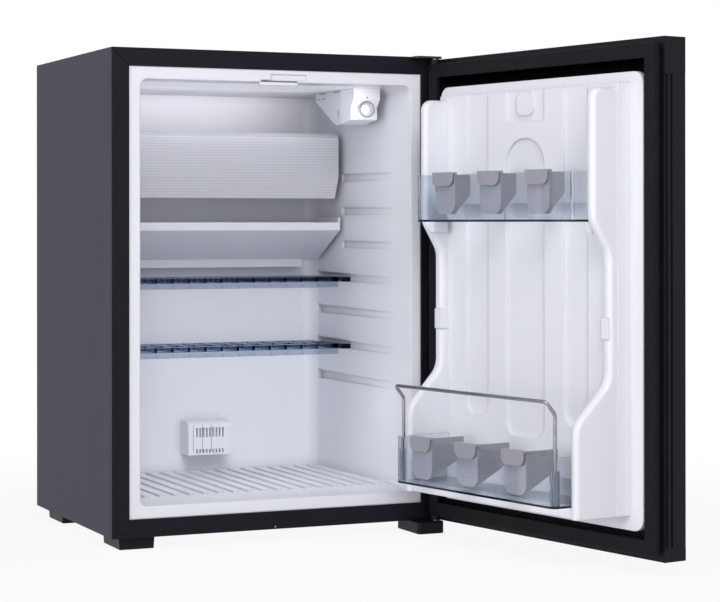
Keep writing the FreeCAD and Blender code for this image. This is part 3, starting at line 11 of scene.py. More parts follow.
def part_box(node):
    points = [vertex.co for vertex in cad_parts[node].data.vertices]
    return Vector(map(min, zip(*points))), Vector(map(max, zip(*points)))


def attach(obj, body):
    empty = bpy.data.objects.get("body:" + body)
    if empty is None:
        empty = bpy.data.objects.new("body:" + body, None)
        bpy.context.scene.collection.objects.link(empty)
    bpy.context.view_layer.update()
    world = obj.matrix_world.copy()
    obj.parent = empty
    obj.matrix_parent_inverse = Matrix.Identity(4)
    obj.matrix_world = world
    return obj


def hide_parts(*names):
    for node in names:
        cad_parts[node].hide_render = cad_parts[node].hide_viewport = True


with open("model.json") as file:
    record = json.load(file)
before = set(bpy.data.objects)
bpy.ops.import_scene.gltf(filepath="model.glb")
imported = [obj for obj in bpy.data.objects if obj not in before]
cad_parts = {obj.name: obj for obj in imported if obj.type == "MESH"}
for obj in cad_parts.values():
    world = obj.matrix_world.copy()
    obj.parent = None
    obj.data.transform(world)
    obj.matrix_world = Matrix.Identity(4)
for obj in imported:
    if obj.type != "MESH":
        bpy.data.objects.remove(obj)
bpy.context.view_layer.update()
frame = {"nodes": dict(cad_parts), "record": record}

bl_info = {
    "name": "Minibar fridge",
    "version": (1, 0, 0),
    "blender": (4, 5, 0),
    "location": "View3D > Sidebar > Minibar",
    "description": "Finishes and small fittings for an open minibar fridge",
    "category": "Object",
}

MM = 0.001
BODY_OF = {node: body for body, names in frame["record"]["behaviour"]["bodies"].items() for node in names}
SLOT_OF = {row["node"]: row["material_slot"] for row in frame["record"]["subparts"]}


def linear(code):
    """A hex colour as sRGB, turned to linear light."""
    shares = (int(code[at:at + 2], 16) / 255 for at in (1, 3, 5))
    return tuple(share / 12.92 if share <= 0.04045 else ((share + 0.055) / 1.055) ** 2.4 for share in shares)


def solid(colour):
    """A colour with its alpha."""
    return (*colour, 1)


def per_metre(width_mm):
    """The texture scale whose features are about that wide."""
    return 1 / (width_mm * MM)


# Sizes and colours that a user may change

class MinibarSizes(bpy.types.PropertyGroup):
    """Sizes of edges, ribs and small fittings"""
    moulded_edge: bpy.props.FloatProperty(
        name="Moulded edge", description="Radius on the edges of plastic mouldings", default=0.8 * MM,
        min=0.1 * MM, max=2 * MM, precision=5, unit="LENGTH")
    liner_edge: bpy.props.FloatProperty(
        name="Liner edge", description="Radius on the edges of the vacuum-formed liners", default=2.6 * MM,
        min=0.1 * MM, max=4 * MM, precision=5, unit="LENGTH")
    sheet_edge: bpy.props.FloatProperty(
        name="Sheet edge", description="Radius on the edges of folded sheet", default=0.3 * MM,
        min=0.1 * MM, max=1 * MM, precision=5, unit="LENGTH")
    evaporator_pitch: bpy.props.FloatProperty(
        name="Evaporator pitch", description="Distance between the evaporator's ribs", default=3.44 * MM,
        min=1 * MM, max=10 * MM, precision=5, unit="LENGTH")
    mark_radius: bpy.props.FloatProperty(
        name="Mark", description="Radius of the round mark and the frame's plug", default=1.2 * MM,
        min=0.5 * MM, max=3 * MM, precision=5, unit="LENGTH")
    # The knob's ring is a dark band of painted shade for the shade inside its well
    ring_wire: bpy.props.FloatProperty(
        name="Knob ring", description="Half the thickness of the ring round the knob's well",
        default=0.6 * MM, min=0.1 * MM, max=2 * MM, precision=5, unit="LENGTH")
    cap_radius: bpy.props.FloatProperty(
        name="Cap", description="Radius of the round caps on the vented box", default=3.3 * MM,
        min=1 * MM, max=6 * MM, precision=5, unit="LENGTH")
    floor_reach: bpy.props.FloatProperty(
        name="Floor", description="Half the width of the floor", default=8.0, min=1, max=20, unit="LENGTH")


class MinibarColours(bpy.types.PropertyGroup):
    """Colours of the finishes that show most"""
    vinyl: bpy.props.FloatVectorProperty(
        name="Vinyl", description="Charcoal film on the outer steel", subtype="COLOR", size=3, min=0, max=1,
        default=linear("#393745"))
    black: bpy.props.FloatVectorProperty(
        name="Black", description="Front frame, door caps and feet", subtype="COLOR", size=3, min=0, max=1,
        default=linear("#17151d"))
    liner: bpy.props.FloatVectorProperty(
        name="Liner", description="White liners and fittings", subtype="COLOR", size=3, min=0, max=1,
        default=linear("#e6e7ee"))
    smoke: bpy.props.FloatVectorProperty(
        name="Smoke", description="Tint of the clear racks", subtype="COLOR", size=3, min=0, max=1,
        default=linear("#5a8db2"))
    shelf: bpy.props.FloatVectorProperty(
        name="Shelf", description="Tint of the clear shelves", subtype="COLOR", size=3, min=0, max=1,
        default=linear("#3f82b8"))
    clip: bpy.props.FloatVectorProperty(
        name="Clip", description="Grey bottle clips", subtype="COLOR", size=3, min=0, max=1,
        default=linear("#97959e"))
    floor: bpy.props.FloatVectorProperty(
        name="Floor", description="Floor of the studio", subtype="COLOR", size=3, min=0, max=1,
        default=linear("#f4f4f4"))


# Materials

WHITE = (1, 1, 1, 1)
# Widths of what breaks up a surface, in millimetres
STREAK_WIDTH = 2.5
STREAK_LENGTH = 60
MOULDED_CLOUD = 45
FORMED_CLOUD = 120
FLOW_WIDTH = 25
BLOOM_WIDTH = 6
# Grains in millimetres, drawn coarser than the real ones so that they show
FILM_GRAIN = 0.9
COATING_GRAIN = 1.5
# Depths of the relief that catches the light
FILM_RELIEF = 0.1 * MM
MOULDED_RELIEF = 0.05 * MM
FLOW_RELIEF = 0.3 * MM
# How much the roughness of a moulding varies either way
MOULDED_SPREAD = 0.05
# How near a wall has to be for painted shade to grey a hollow
PAINTED_SHADE_REACH = 16 * MM
# What a wave texture multiplies a place by, besides its scale
WAVE_RATE = 20


def add_node(tree, kind, inputs, ramp=(), **settings):
    """A node with its settings, its fixed inputs, its links and a ramp's ends, as (place, colour)."""
    made = tree.nodes.new(kind)
    for key, value in settings.items():
        setattr(made, key, value)
    for element, (place, colour) in enumerate(ramp):
        made.color_ramp.elements[element].position = place
        made.color_ramp.elements[element].color = solid(colour)
    for key, value in inputs.items():
        if isinstance(value, bpy.types.NodeSocket):
            tree.links.new(value, made.inputs[key])
        else:
            made.inputs[key].default_value = value
    return made


def new_material(name):
    """An empty material, its tree and the Object coordinates in it."""
    material = bpy.data.materials.new(name)
    material.use_nodes = True
    tree = material.node_tree
    tree.nodes.clear()
    return material, tree, add_node(tree, "ShaderNodeTexCoord", {}).outputs["Object"]


def shade(colour, factor):
    """A colour made lighter or darker."""
    return tuple(min(1, part * factor) for part in colour)


def vinyl_coated_steel(colour):
    # Steel with a charcoal vinyl film: dull, with faint streaks that run upwards and a soft grain
    material, tree, place = new_material("vinyl_coated_steel_streaked")
    across, along = per_metre(STREAK_WIDTH), per_metre(STREAK_LENGTH)
    stretched = add_node(tree, "ShaderNodeMapping", {"Vector": place, "Scale": (across, across, along)})
    streaks = add_node(tree, "ShaderNodeTexNoise", {
        "Vector": stretched.outputs[0], "Scale": 1, "Detail": 4, "Roughness": 0.6})
    dark, light = shade(colour, 0.78), shade(colour, 1.22)
    tint = add_node(tree, "ShaderNodeValToRGB", {"Fac": streaks.outputs[0]},
                    ramp=((0.35, dark), (0.68, light)))
    grain = add_node(tree, "ShaderNodeTexNoise", {
        "Vector": place, "Scale": per_metre(FILM_GRAIN), "Detail": 2})
    height = add_node(tree, "ShaderNodeMath", {0: streaks.outputs[0], 1: grain.outputs[0]},
                      operation="ADD")
    bump = add_node(tree, "ShaderNodeBump", {
        "Height": height.outputs[0], "Strength": 0.12, "Distance": FILM_RELIEF})
    gloss = add_node(tree, "ShaderNodeMapRange", {
        "Value": streaks.outputs[0], "To Min": 0.5, "To Max": 0.62})
    shader = add_node(tree, "ShaderNodeBsdfPrincipled", {
        "Base Color": tint.outputs[0], "Roughness": gloss.outputs[0], "Specular IOR Level": 0.15,
        "Normal": bump.outputs[0]})
    add_node(tree, "ShaderNodeOutputMaterial", {"Surface": shader.outputs[0]})
    return material


def satin_plastic(name, colour, roughness, grain_mm, relief, cloud, specular=0.5):
    # Moulded plastic, lacquer or foam: even colour, gloss that varies a little, and a fine grain that is
    # drawn coarser than the real one so that it shows
    material, tree, place = new_material(name)
    clouds = add_node(tree, "ShaderNodeTexNoise", {
        "Vector": place, "Scale": per_metre(MOULDED_CLOUD), "Detail": 3})
    dark, light = shade(colour, 1 - cloud), shade(colour, 1 + cloud)
    tint = add_node(tree, "ShaderNodeValToRGB", {"Fac": clouds.outputs[0]},
                    ramp=((0.3, dark), (0.7, light)))
    grain = add_node(tree, "ShaderNodeTexNoise", {
        "Vector": place, "Scale": per_metre(grain_mm), "Detail": 2})
    bump = add_node(tree, "ShaderNodeBump", {
        "Height": grain.outputs[0], "Strength": relief, "Distance": MOULDED_RELIEF})
    gloss = add_node(tree, "ShaderNodeMapRange", {
        "Value": clouds.outputs[0], "To Min": roughness - MOULDED_SPREAD,
        "To Max": roughness + MOULDED_SPREAD})
    shader = add_node(tree, "ShaderNodeBsdfPrincipled", {
        "Base Color": tint.outputs[0], "Roughness": gloss.outputs[0], "Specular IOR Level": specular,
        "Normal": bump.outputs[0]})
    add_node(tree, "ShaderNodeOutputMaterial", {"Surface": shader.outputs[0]})
    return material


def formed_polystyrene(name, colour, edge, painted_hollow_shade):
    # Vacuum-formed polystyrene: cool white with a soft gloss, painted shade that greys its hollows, and
    # corners that a drawn sheet never keeps sharp
    material, tree, place = new_material(name)
    clouds = add_node(tree, "ShaderNodeTexNoise", {
        "Vector": place, "Scale": per_metre(FORMED_CLOUD), "Detail": 2})
    # Ambient occlusion greys the colour near walls, in creases and under parts: painted shade
    painted_shade = add_node(tree, "ShaderNodeAmbientOcclusion", {"Distance": PAINTED_SHADE_REACH}, samples=8)
    tint = add_node(tree, "ShaderNodeValToRGB", {"Fac": painted_shade.outputs["AO"]},
                    ramp=((0.25, shade(colour, painted_hollow_shade)), (0.9, colour)))
    softened = add_node(tree, "ShaderNodeBevel", {"Radius": edge}, samples=6)
    gloss = add_node(tree, "ShaderNodeMapRange", {
        "Value": clouds.outputs[0], "To Min": 0.28, "To Max": 0.36})
    shader = add_node(tree, "ShaderNodeBsdfPrincipled", {
        "Base Color": tint.outputs[0], "Roughness": gloss.outputs[0], "IOR": 1.5,
        "Normal": softened.outputs[0]})
    add_node(tree, "ShaderNodeOutputMaterial", {"Surface": shader.outputs[0]})
    return material


def ribbed_aluminium(colour, pitch):
    # Coated aluminium with fine level ribs, striped with painted highlight on the crests and painted shade in
    # the valleys
    material, tree, place = new_material("coated_aluminium_ribbed")
    # The stripes at the ribs' pitch are painted highlight and painted shade, not a change in the coating
    ribs = add_node(tree, "ShaderNodeTexWave", {
        "Vector": place, "Scale": 2 * math.pi / (WAVE_RATE * pitch)}, bands_direction="Z")
    tint = add_node(tree, "ShaderNodeValToRGB", {"Fac": ribs.outputs["Fac"]},
                    ramp=((0.1, shade(colour, 0.89)), (0.7, colour)))
    grain = add_node(tree, "ShaderNodeTexNoise", {"Vector": place, "Scale": per_metre(COATING_GRAIN)})
    gloss = add_node(tree, "ShaderNodeMapRange", {
        "Value": grain.outputs[0], "To Min": 0.34, "To Max": 0.46})
    shader = add_node(tree, "ShaderNodeBsdfPrincipled", {
        "Base Color": tint.outputs[0], "Roughness": gloss.outputs[0]})
    add_node(tree, "ShaderNodeOutputMaterial", {"Surface": shader.outputs[0]})
    return material


def smoke_polystyrene(name, colour, density, shine):
    # Clear polystyrene with a smoke tint: the thin walls show what is behind, the edges go dark blue-grey
    material, tree, place = new_material(name)
    flow = add_node(tree, "ShaderNodeTexNoise", {
        "Vector": place, "Scale": per_metre(FLOW_WIDTH), "Detail": 1})
    bump = add_node(tree, "ShaderNodeBump", {
        "Height": flow.outputs[0], "Strength": 0.04, "Distance": FLOW_RELIEF})
    shader = add_node(tree, "ShaderNodeBsdfPrincipled", {
        "Base Color": WHITE, "Roughness": 0.03, "IOR": 1.57, "Transmission Weight": 1,
        "Specular Tint": solid(shine), "Normal": bump.outputs[0]})
    depth = add_node(tree, "ShaderNodeVolumeAbsorption", {"Color": solid(colour), "Density": density})
    add_node(tree, "ShaderNodeOutputMaterial", {
        "Surface": shader.outputs[0], "Volume": depth.outputs[0]})
    return material


def extruded_seal(colour):
    # Soft black vinyl seal: matt, with a faint grey bloom in patches
    material, tree, place = new_material("soft_vinyl_seal_black")
    bloom = add_node(tree, "ShaderNodeTexNoise", {
        "Vector": place, "Scale": per_metre(BLOOM_WIDTH), "Detail": 3})
    dark, light = shade(colour, 0.8), shade(colour, 1.35)
    tint = add_node(tree, "ShaderNodeValToRGB", {"Fac": bloom.outputs[0]},
                    ramp=((0.35, dark), (0.75, light)))
    shader = add_node(tree, "ShaderNodeBsdfPrincipled", {
        "Base Color": tint.outputs[0], "Roughness": 0.6, "Specular IOR Level": 0.12})
    add_node(tree, "ShaderNodeOutputMaterial", {"Surface": shader.outputs[0]})
    return material


def bare_metal(name, colour, roughness, spread, mark_mm):
    # Metal whose gloss is broken by marks: bright where it is smooth, duller where it is worn or spangled
    material, tree, place = new_material(name)
    marks = add_node(tree, "ShaderNodeTexVoronoi", {"Vector": place, "Scale": per_metre(mark_mm)})
    dark, light = shade(colour, 0.88), shade(colour, 1.08)
    tint = add_node(tree, "ShaderNodeValToRGB", {"Fac": marks.outputs["Color"]},
                    ramp=((0, dark), (1, light)))
    gloss = add_node(tree, "ShaderNodeMapRange", {
        "Value": marks.outputs["Distance"], "To Min": roughness - spread, "To Max": roughness + spread})
    shader = add_node(tree, "ShaderNodeBsdfPrincipled", {
        "Base Color": tint.outputs[0], "Metallic": 1, "Roughness": gloss.outputs[0]})
    add_node(tree, "ShaderNodeOutputMaterial", {"Surface": shader.outputs[0]})
    return material


def finishes():
    """How each material of the fridge is made."""
    colours = bpy.context.scene.minibar_colours
    sizes = bpy.context.scene.minibar_sizes
    return {
        "vinyl": lambda: vinyl_coated_steel(colours.vinyl),
        "black": lambda: satin_plastic(
            "moulded_abs_black", colours.black, roughness=0.42, grain_mm=0.9, relief=0.12, cloud=0.1,
            specular=0.12),
        # Both liners have their hollows greyed by painted shade; on the door liner it is only faint
        "liner": lambda: formed_polystyrene(
            "formed_polystyrene_white_painted_shade", colours.liner, sizes.liner_edge, painted_hollow_shade=0.74),
        "door_liner": lambda: formed_polystyrene(
            "formed_polystyrene_white_faint_painted_shade", colours.liner, sizes.liner_edge, painted_hollow_shade=0.94),
        "white": lambda: satin_plastic(
            "moulded_abs_white", shade(colours.liner, 0.98), roughness=0.34, grain_mm=1.2, relief=0.06,
            cloud=0.015),
        "frosted": lambda: satin_plastic(
            "frosted_polypropylene", linear("#d5d9df"), roughness=0.5, grain_mm=1.2, relief=0.1, cloud=0.02),
        "smoke": lambda: smoke_polystyrene(
            "clear_polystyrene_smoke", colours.smoke, density=110, shine=linear("#b5bac2")),
        "navy": lambda: smoke_polystyrene(
            "clear_polystyrene_navy", colours.shelf, density=210, shine=linear("#8b98b4")),
        "clip": lambda: satin_plastic(
            "moulded_abs_grey", colours.clip, roughness=0.42, grain_mm=1.1, relief=0.1, cloud=0.03),
        "seal": lambda: extruded_seal(linear("#121116")),
        "chrome": lambda: bare_metal(
            "nickel_plated_wire", linear("#97959b"), roughness=0.22, spread=0.05, mark_mm=6),
        "foam": lambda: satin_plastic(
            "rigid_polyurethane_foam", linear("#dccf9f"), roughness=0.9, grain_mm=1.5, relief=0.8, cloud=0.1),
        "galvanised": lambda: bare_metal(
            "galvanised_sheet_spangled", linear("#a7abaf"), roughness=0.42, spread=0.1, mark_mm=9),
        "lacquer": lambda: satin_plastic(
            "black_lacquered_steel", linear("#1c1c1e"), roughness=0.35, grain_mm=2.5, relief=0.15,
            cloud=0.15),
        "aluminium": lambda: ribbed_aluminium(linear("#e2e3ea"), sizes.evaporator_pitch),
        # Dark grey for the knob's mark and the vented box's lines, and painted shade where it stands in for
        # the lamp cover's slots and the knob's well
        "slot": lambda: satin_plastic(
            "moulded_abs_grey_and_painted_shade", linear("#6a6d78"), roughness=0.7, grain_mm=2, relief=0.1, cloud=0.05),
        "steel": lambda: bare_metal(
            "zinc_plated_steel", linear("#b5b7ba"), roughness=0.3, spread=0.08, mark_mm=3),
    }


FINISHES = {}


def finish(key):
    """The material under that key, made when it is first asked for."""
    if key not in FINISHES:
        FINISHES[key] = finishes()[key]()
    return FINISHES[key]


# Shaping

# Points nearer than the first are one point, and faces that turn by less than the second are one face
WELD = 0.01 * MM
FLAT_TURN = math.radians(0.5)
# Edges that turn by more than the first are rounded, and by more than the second stay sharp in the shading
ROUND_TURN = math.radians(40)
SHARP_TURN = math.radians(50)
RING_SHARP_TURN = math.radians(80)
ROUND_STEPS = 2
ROUND_SIDES = 36
WIRE_SIDES = 8
# A button's rim as a share of its foot, and a ring's weld as a share of its wire
RIM_SHARE = 0.7
RING_WELD_SHARE = 0.01
TO_THE_FRONT = Matrix.Rotation(math.radians(90), 4, "X")


def dress(node, key):
    """Gives a solid its finish."""
    thing = frame["nodes"][node]
    if not thing.material_slots:
        thing.data.materials.append(None)
    for slot in thing.material_slots:
        slot.material = finish(key)


def settle(bm, name, node, key):
    """Turns the bmesh into a piece that rides on a solid's body."""
    body, slot = BODY_OF[node], SLOT_OF[node]
    mesh = bpy.data.meshes.new(name)
    bm.to_mesh(mesh)
    bm.free()
    mesh.materials.append(finish(key))
    piece = bpy.data.objects.new(name, mesh)
    bpy.context.scene.collection.objects.link(piece)
    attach(piece, body)
    return piece


def smooth_over(bm, limit):
    """Smooth faces, with the edges that turn by more than the limit kept sharp."""
    for face in bm.faces:
        face.smooth = True
    for edge in bm.edges:
        edge.smooth = len(edge.link_faces) == 2 and edge.calc_face_angle(0) < limit


def rounded(node, key, radius):
    """A copy of a solid with its edges rounded, shown in its place. A radius of 0 only smooths it."""
    bm = bmesh.new()
    bm.from_mesh(frame["nodes"][node].data)
    bmesh.ops.remove_doubles(bm, verts=bm.verts, dist=WELD)
    bmesh.ops.dissolve_limit(bm, angle_limit=FLAT_TURN, verts=bm.verts, edges=bm.edges)
    if radius:
        shared = [edge for edge in bm.edges if len(edge.link_faces) == 2]
        corners = [edge for edge in shared if edge.calc_face_angle(0) > ROUND_TURN]
        bmesh.ops.bevel(bm, geom=corners, offset=radius, offset_type="OFFSET", affect="EDGES",
                        segments=ROUND_STEPS, profile=0.5, material=-1, clamp_overlap=True)
    smooth_over(bm, SHARP_TURN)
    piece = settle(bm, f"{node}_finished", node, key)
    even = piece.modifiers.new("even_shading", "WEIGHTED_NORMAL")
    even.keep_sharp = True
    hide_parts(node)
    return piece


def block(bm, low, high, edge):
    """A box between two corners with rounded edges, added to the bmesh."""
    size = [high[axis] - low[axis] for axis in range(3)]
    middle = [(high[axis] + low[axis]) / 2 for axis in range(3)]
    spot = Matrix.Translation(middle) @ Matrix.Diagonal((*size, 1))
    made = bmesh.ops.create_cube(bm, size=1, matrix=spot)
    edges = {line for vert in made["verts"] for line in vert.link_edges}
    bmesh.ops.bevel(bm, geom=list(edges), offset=edge, offset_type="OFFSET", affect="EDGES",
                    segments=ROUND_STEPS, profile=0.5, material=-1)


def button(bm, middle, radius, height):
    """A low round button with a sloping rim that faces the front, added to the bmesh."""
    bmesh.ops.create_cone(
        bm, cap_ends=True, segments=ROUND_SIDES, radius1=radius, radius2=radius * RIM_SHARE, depth=height,
        matrix=Matrix.Translation(middle) @ TO_THE_FRONT)


def ring(bm, middle, radius, wire):
    """A round ring that faces the front, spun from a circle and added to the bmesh."""
    turn = Matrix.Translation((middle[0] + radius, middle[1], middle[2]))
    made = bmesh.ops.create_circle(bm, segments=WIRE_SIDES, radius=wire, matrix=turn)
    outline = {line for vert in made["verts"] for line in vert.link_edges}
    bmesh.ops.spin(bm, geom=list(outline), cent=middle, axis=(0, 1, 0), angle=2 * math.pi,
                   steps=ROUND_SIDES, use_merge=True)
    bmesh.ops.remove_doubles(bm, verts=bm.verts, dist=wire * RING_WELD_SHARE)
    bmesh.ops.recalc_face_normals(bm, faces=bm.faces)
    smooth_over(bm, RING_SHARP_TURN)


# Pieces

# Dark strips of painted shade for the slots in the side of the lamp cover: where they start, as shares of
# its depth and height, then their length and height
LAMP_SLOTS = (
    (0.08, 0.22, 1.4 * MM, 9 * MM),
    (0.04, 0.94, 18 * MM, 1 * MM),
    (0.56, 0.94, 20 * MM, 1 * MM),
    (0.62, 0.8, 9 * MM, 1.2 * MM),
    (0.84, 0.8, 7 * MM, 1.2 * MM),
)
SLOT_RISE = 0.3 * MM
# The mark over the middle of the knob, and the radius of the ring of painted shade round the knob's well as a
# share of the knob's width
MARK_RISE = 14 * MM
RING_SHARE = 0.66
# The caps and the upright lines on the front of the vented box, as shares of its width and height
VENT_CAP_SHARES = (0.22, 0.74)
VENT_CAP_LEVEL_SHARE = 0.46
VENT_CAP_HEIGHT = 0.8 * MM
VENT_LINE_SHARES = (0.11, 0.32, 0.53)
VENT_LINE_WIDTH = 0.5 * MM
VENT_LINE_EDGE = 0.1 * MM
VENT_LINE_MARGIN = 4 * MM
# The lip under the strike in the upper flange, its drop taken from the flange's upper edge
STRIKE_WIDTH = 46 * MM
STRIKE_HEIGHT = 7 * MM
STRIKE_DEPTH = 9 * MM
STRIKE_DROP = 17.5 * MM
# The small plug in the lower rail of the frame, from the rail's left end and lower edge
PLUG_ALONG = 194.5 * MM
PLUG_RISE = 3 * MM


class MINIBAR_OT_cabinet(bpy.types.Operator):
    """Finishes the outer wrap, the front frame, the feet and the hinges"""
    bl_idname = "minibar.cabinet"
    bl_label = "Cabinet"

    def execute(self, context):
        sizes = context.scene.minibar_sizes
        rounded("outer_wrap", "vinyl", sizes.sheet_edge)
        for node in ("frame_top", "frame_bottom", "frame_left", "frame_right", "front_foot", "rear_feet",
                     "lower_hinge"):
            rounded(node, "black", sizes.moulded_edge)
        rounded("hinge_hole_covers", "black", sizes.sheet_edge)
        rounded("upper_hinge", "lacquer", sizes.sheet_edge)
        dress("hinge_screws", "lacquer")
        dress("hinge_pins", "steel")
        dress("insulation", "foam")
        dress("base_plate", "galvanised")
        return {"FINISHED"}


class MINIBAR_OT_inside(bpy.types.Operator):
    """Finishes the liner, the evaporator, the tray, the control housing and the vented box"""
    bl_idname = "minibar.inside"
    bl_label = "Inside"

    def execute(self, context):
        sizes = context.scene.minibar_sizes
        dress("inner_liner", "liner")
        dress("evaporator", "aluminium")
        rounded("drip_tray", "white", sizes.moulded_edge)
        rounded("control_housing", "white", sizes.moulded_edge)
        rounded("lamp_cover", "frosted", sizes.moulded_edge)
        rounded("thermostat_knob", "white", sizes.sheet_edge)
        rounded("vent_box", "white", sizes.sheet_edge)
        dress("evaporator_tubes", "lacquer")
        return {"FINISHED"}


class MINIBAR_OT_shelves(bpy.types.Operator):
    """Finishes the two shelves"""
    bl_idname = "minibar.shelves"
    bl_label = "Shelves"

    def execute(self, context):
        sizes = context.scene.minibar_sizes
        for node in ("shelf_upper", "shelf_lower"):
            piece = rounded(node, "navy", sizes.sheet_edge)
            # Clear plastic lets the light through, so it casts no hard shadow
            piece.visible_shadow = False
        return {"FINISHED"}


class MINIBAR_OT_door(bpy.types.Operator):
    """Finishes the door's skin, caps, edge profiles, liner and seal"""
    bl_idname = "minibar.door"
    bl_label = "Door"

    def execute(self, context):
        sizes = context.scene.minibar_sizes
        rounded("door_skin", "vinyl", sizes.sheet_edge)
        for node in ("handle_profile", "hinge_profile", "top_cap", "bottom_cap"):
            rounded(node, "black", sizes.moulded_edge / 2)
        rounded("door_liner", "door_liner", 0)
        rounded("door_gasket", "seal", sizes.moulded_edge)
        dress("door_foam", "foam")
        dress("hinge_bushes", "white")
        return {"FINISHED"}


class MINIBAR_OT_racks(bpy.types.Operator):
    """Finishes the two racks, their bottle clips and the wire bail"""
    bl_idname = "minibar.racks"
    bl_label = "Racks and clips"

    def execute(self, context):
        sizes = context.scene.minibar_sizes
        for node in ("upper_rack", "lower_rack"):
            piece = rounded(node, "smoke", sizes.sheet_edge)
            # Clear plastic lets the light through, so it casts no hard shadow
            piece.visible_shadow = False
        for row in ("upper", "lower"):
            for number in (1, 2, 3):
                rounded(f"{row}_clip_{number}", "clip", sizes.moulded_edge / 2)
        rounded("bottle_bail", "chrome", 0)
        return {"FINISHED"}


class MINIBAR_OT_control_details(bpy.types.Operator):
    """Adds strips of painted shade for the lamp cover's slots, the mark over the knob and a ring of painted
    shade round its well
    """
    bl_idname = "minibar.control_details"
    bl_label = "Control details"

    def execute(self, context):
        sizes = context.scene.minibar_sizes
        cover_low, cover_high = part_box("lamp_cover")
        deep, tall = cover_high[1] - cover_low[1], cover_high[2] - cover_low[2]
        # Dark grey strips stand in for the shade inside the slots: painted shade
        bm = bmesh.new()
        for along_share, up_share, length, height in LAMP_SLOTS:
            back, level = cover_low[1] + along_share * deep, cover_low[2] + up_share * tall
            block(bm, (cover_low[0] - SLOT_RISE, back, level),
                  (cover_low[0] + SLOT_RISE, back + length, level + height), SLOT_RISE / 2)
        settle(bm, "lamp_cover_painted_shade_slots", "lamp_cover", "slot")

        knob_low, knob_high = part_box("thermostat_knob")
        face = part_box("control_housing")[0][1]
        across, level = (knob_low[0] + knob_high[0]) / 2, (knob_low[2] + knob_high[2]) / 2
        bm = bmesh.new()
        button(bm, (across, face, level + MARK_RISE), sizes.mark_radius, sizes.mark_radius / 2)
        settle(bm, "control_mark", "control_housing", "slot")
        # A dark grey ring stands in for the shade inside the knob's well: painted shade
        bm = bmesh.new()
        ring(bm, (across, face, level), (knob_high[0] - knob_low[0]) * RING_SHARE, sizes.ring_wire)
        settle(bm, "knob_well_painted_shade_ring", "control_housing", "slot")
        return {"FINISHED"}


class MINIBAR_OT_vent_details(bpy.types.Operator):
    """Adds the round caps and the upright lines on the front of the vented box"""
    bl_idname = "minibar.vent_details"
    bl_label = "Vented box details"

    def execute(self, context):
        sizes = context.scene.minibar_sizes
        vent_low, vent_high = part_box("vent_box")
        wide, tall = vent_high[0] - vent_low[0], vent_high[2] - vent_low[2]
        bm = bmesh.new()
        for share in VENT_CAP_SHARES:
            button(bm, (vent_low[0] + share * wide, vent_low[1], vent_low[2] + VENT_CAP_LEVEL_SHARE * tall),
                   sizes.cap_radius, VENT_CAP_HEIGHT)
        settle(bm, "vent_box_caps", "vent_box", "white")
        bm = bmesh.new()
        for share in VENT_LINE_SHARES:
            left = vent_low[0] + share * wide
            block(bm, (left, vent_low[1] - SLOT_RISE, vent_low[2] + VENT_LINE_MARGIN),
                  (left + VENT_LINE_WIDTH, vent_low[1] + SLOT_RISE, vent_high[2] - VENT_LINE_MARGIN),
                  VENT_LINE_EDGE)
        settle(bm, "vent_box_lines", "vent_box", "slot")
        return {"FINISHED"}


class MINIBAR_OT_strike(bpy.types.Operator):
    """Adds the lip under the strike"""
    bl_idname = "minibar.strike"
    bl_label = "Strike lip"

    def execute(self, context):
        liner_low, liner_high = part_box("inner_liner")
        left = (liner_low[0] + liner_high[0]) / 2 - STRIKE_WIDTH / 2
        level = liner_high[2] - STRIKE_DROP
        bm = bmesh.new()
        block(bm, (left, liner_low[1], level),
              (left + STRIKE_WIDTH, liner_low[1] + STRIKE_DEPTH, level + STRIKE_HEIGHT),
              context.scene.minibar_sizes.moulded_edge)
        settle(bm, "strike_lip", "inner_liner", "white")
        return {"FINISHED"}


class MINIBAR_OT_plug(bpy.types.Operator):
    """Adds the small plug in the lower rail of the frame"""
    bl_idname = "minibar.plug"
    bl_label = "Frame plug"

    def execute(self, context):
        radius = context.scene.minibar_sizes.mark_radius
        rail_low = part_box("frame_bottom")[0]
        spot = (rail_low[0] + PLUG_ALONG, rail_low[1], rail_low[2] + PLUG_RISE)
        bm = bmesh.new()
        button(bm, spot, radius, radius / 2)
        settle(bm, "frame_plug", "frame_bottom", "clip")
        return {"FINISHED"}


class MINIBAR_OT_cooling(bpy.types.Operator):
    """Finishes the cooling unit on the rear"""
    bl_idname = "minibar.cooling"
    bl_label = "Cooling unit"

    def execute(self, context):
        sizes = context.scene.minibar_sizes
        for node in ("absorber_coil", "vapour_pipe", "return_pipe", "solution_pipe", "absorber_vessel"):
            rounded(node, "lacquer", 0)
        dress("condenser_fins", "lacquer")
        rounded("boiler_casing", "galvanised", sizes.moulded_edge)
        rounded("terminal_box", "black", sizes.moulded_edge)
        rounded("unit_brackets", "galvanised", sizes.sheet_edge)
        dress("rear_panel", "galvanised")
        dress("plug_plate", "galvanised")
        dress("rear_plug", "foam")
        dress("plate_screws", "steel")
        return {"FINISHED"}


# Stage

# The photo's camera: its place in metres, its turns in degrees and its lens in millimetres
CAMERA_PLACE = (-0.944258, -2.235689, 0.365867)
CAMERA_TILT = 90.065
CAMERA_ROLL = 0.045
CAMERA_TURN = -23.968
CAMERA_LENS = 105.26
CAMERA_SHIFT = -0.1136
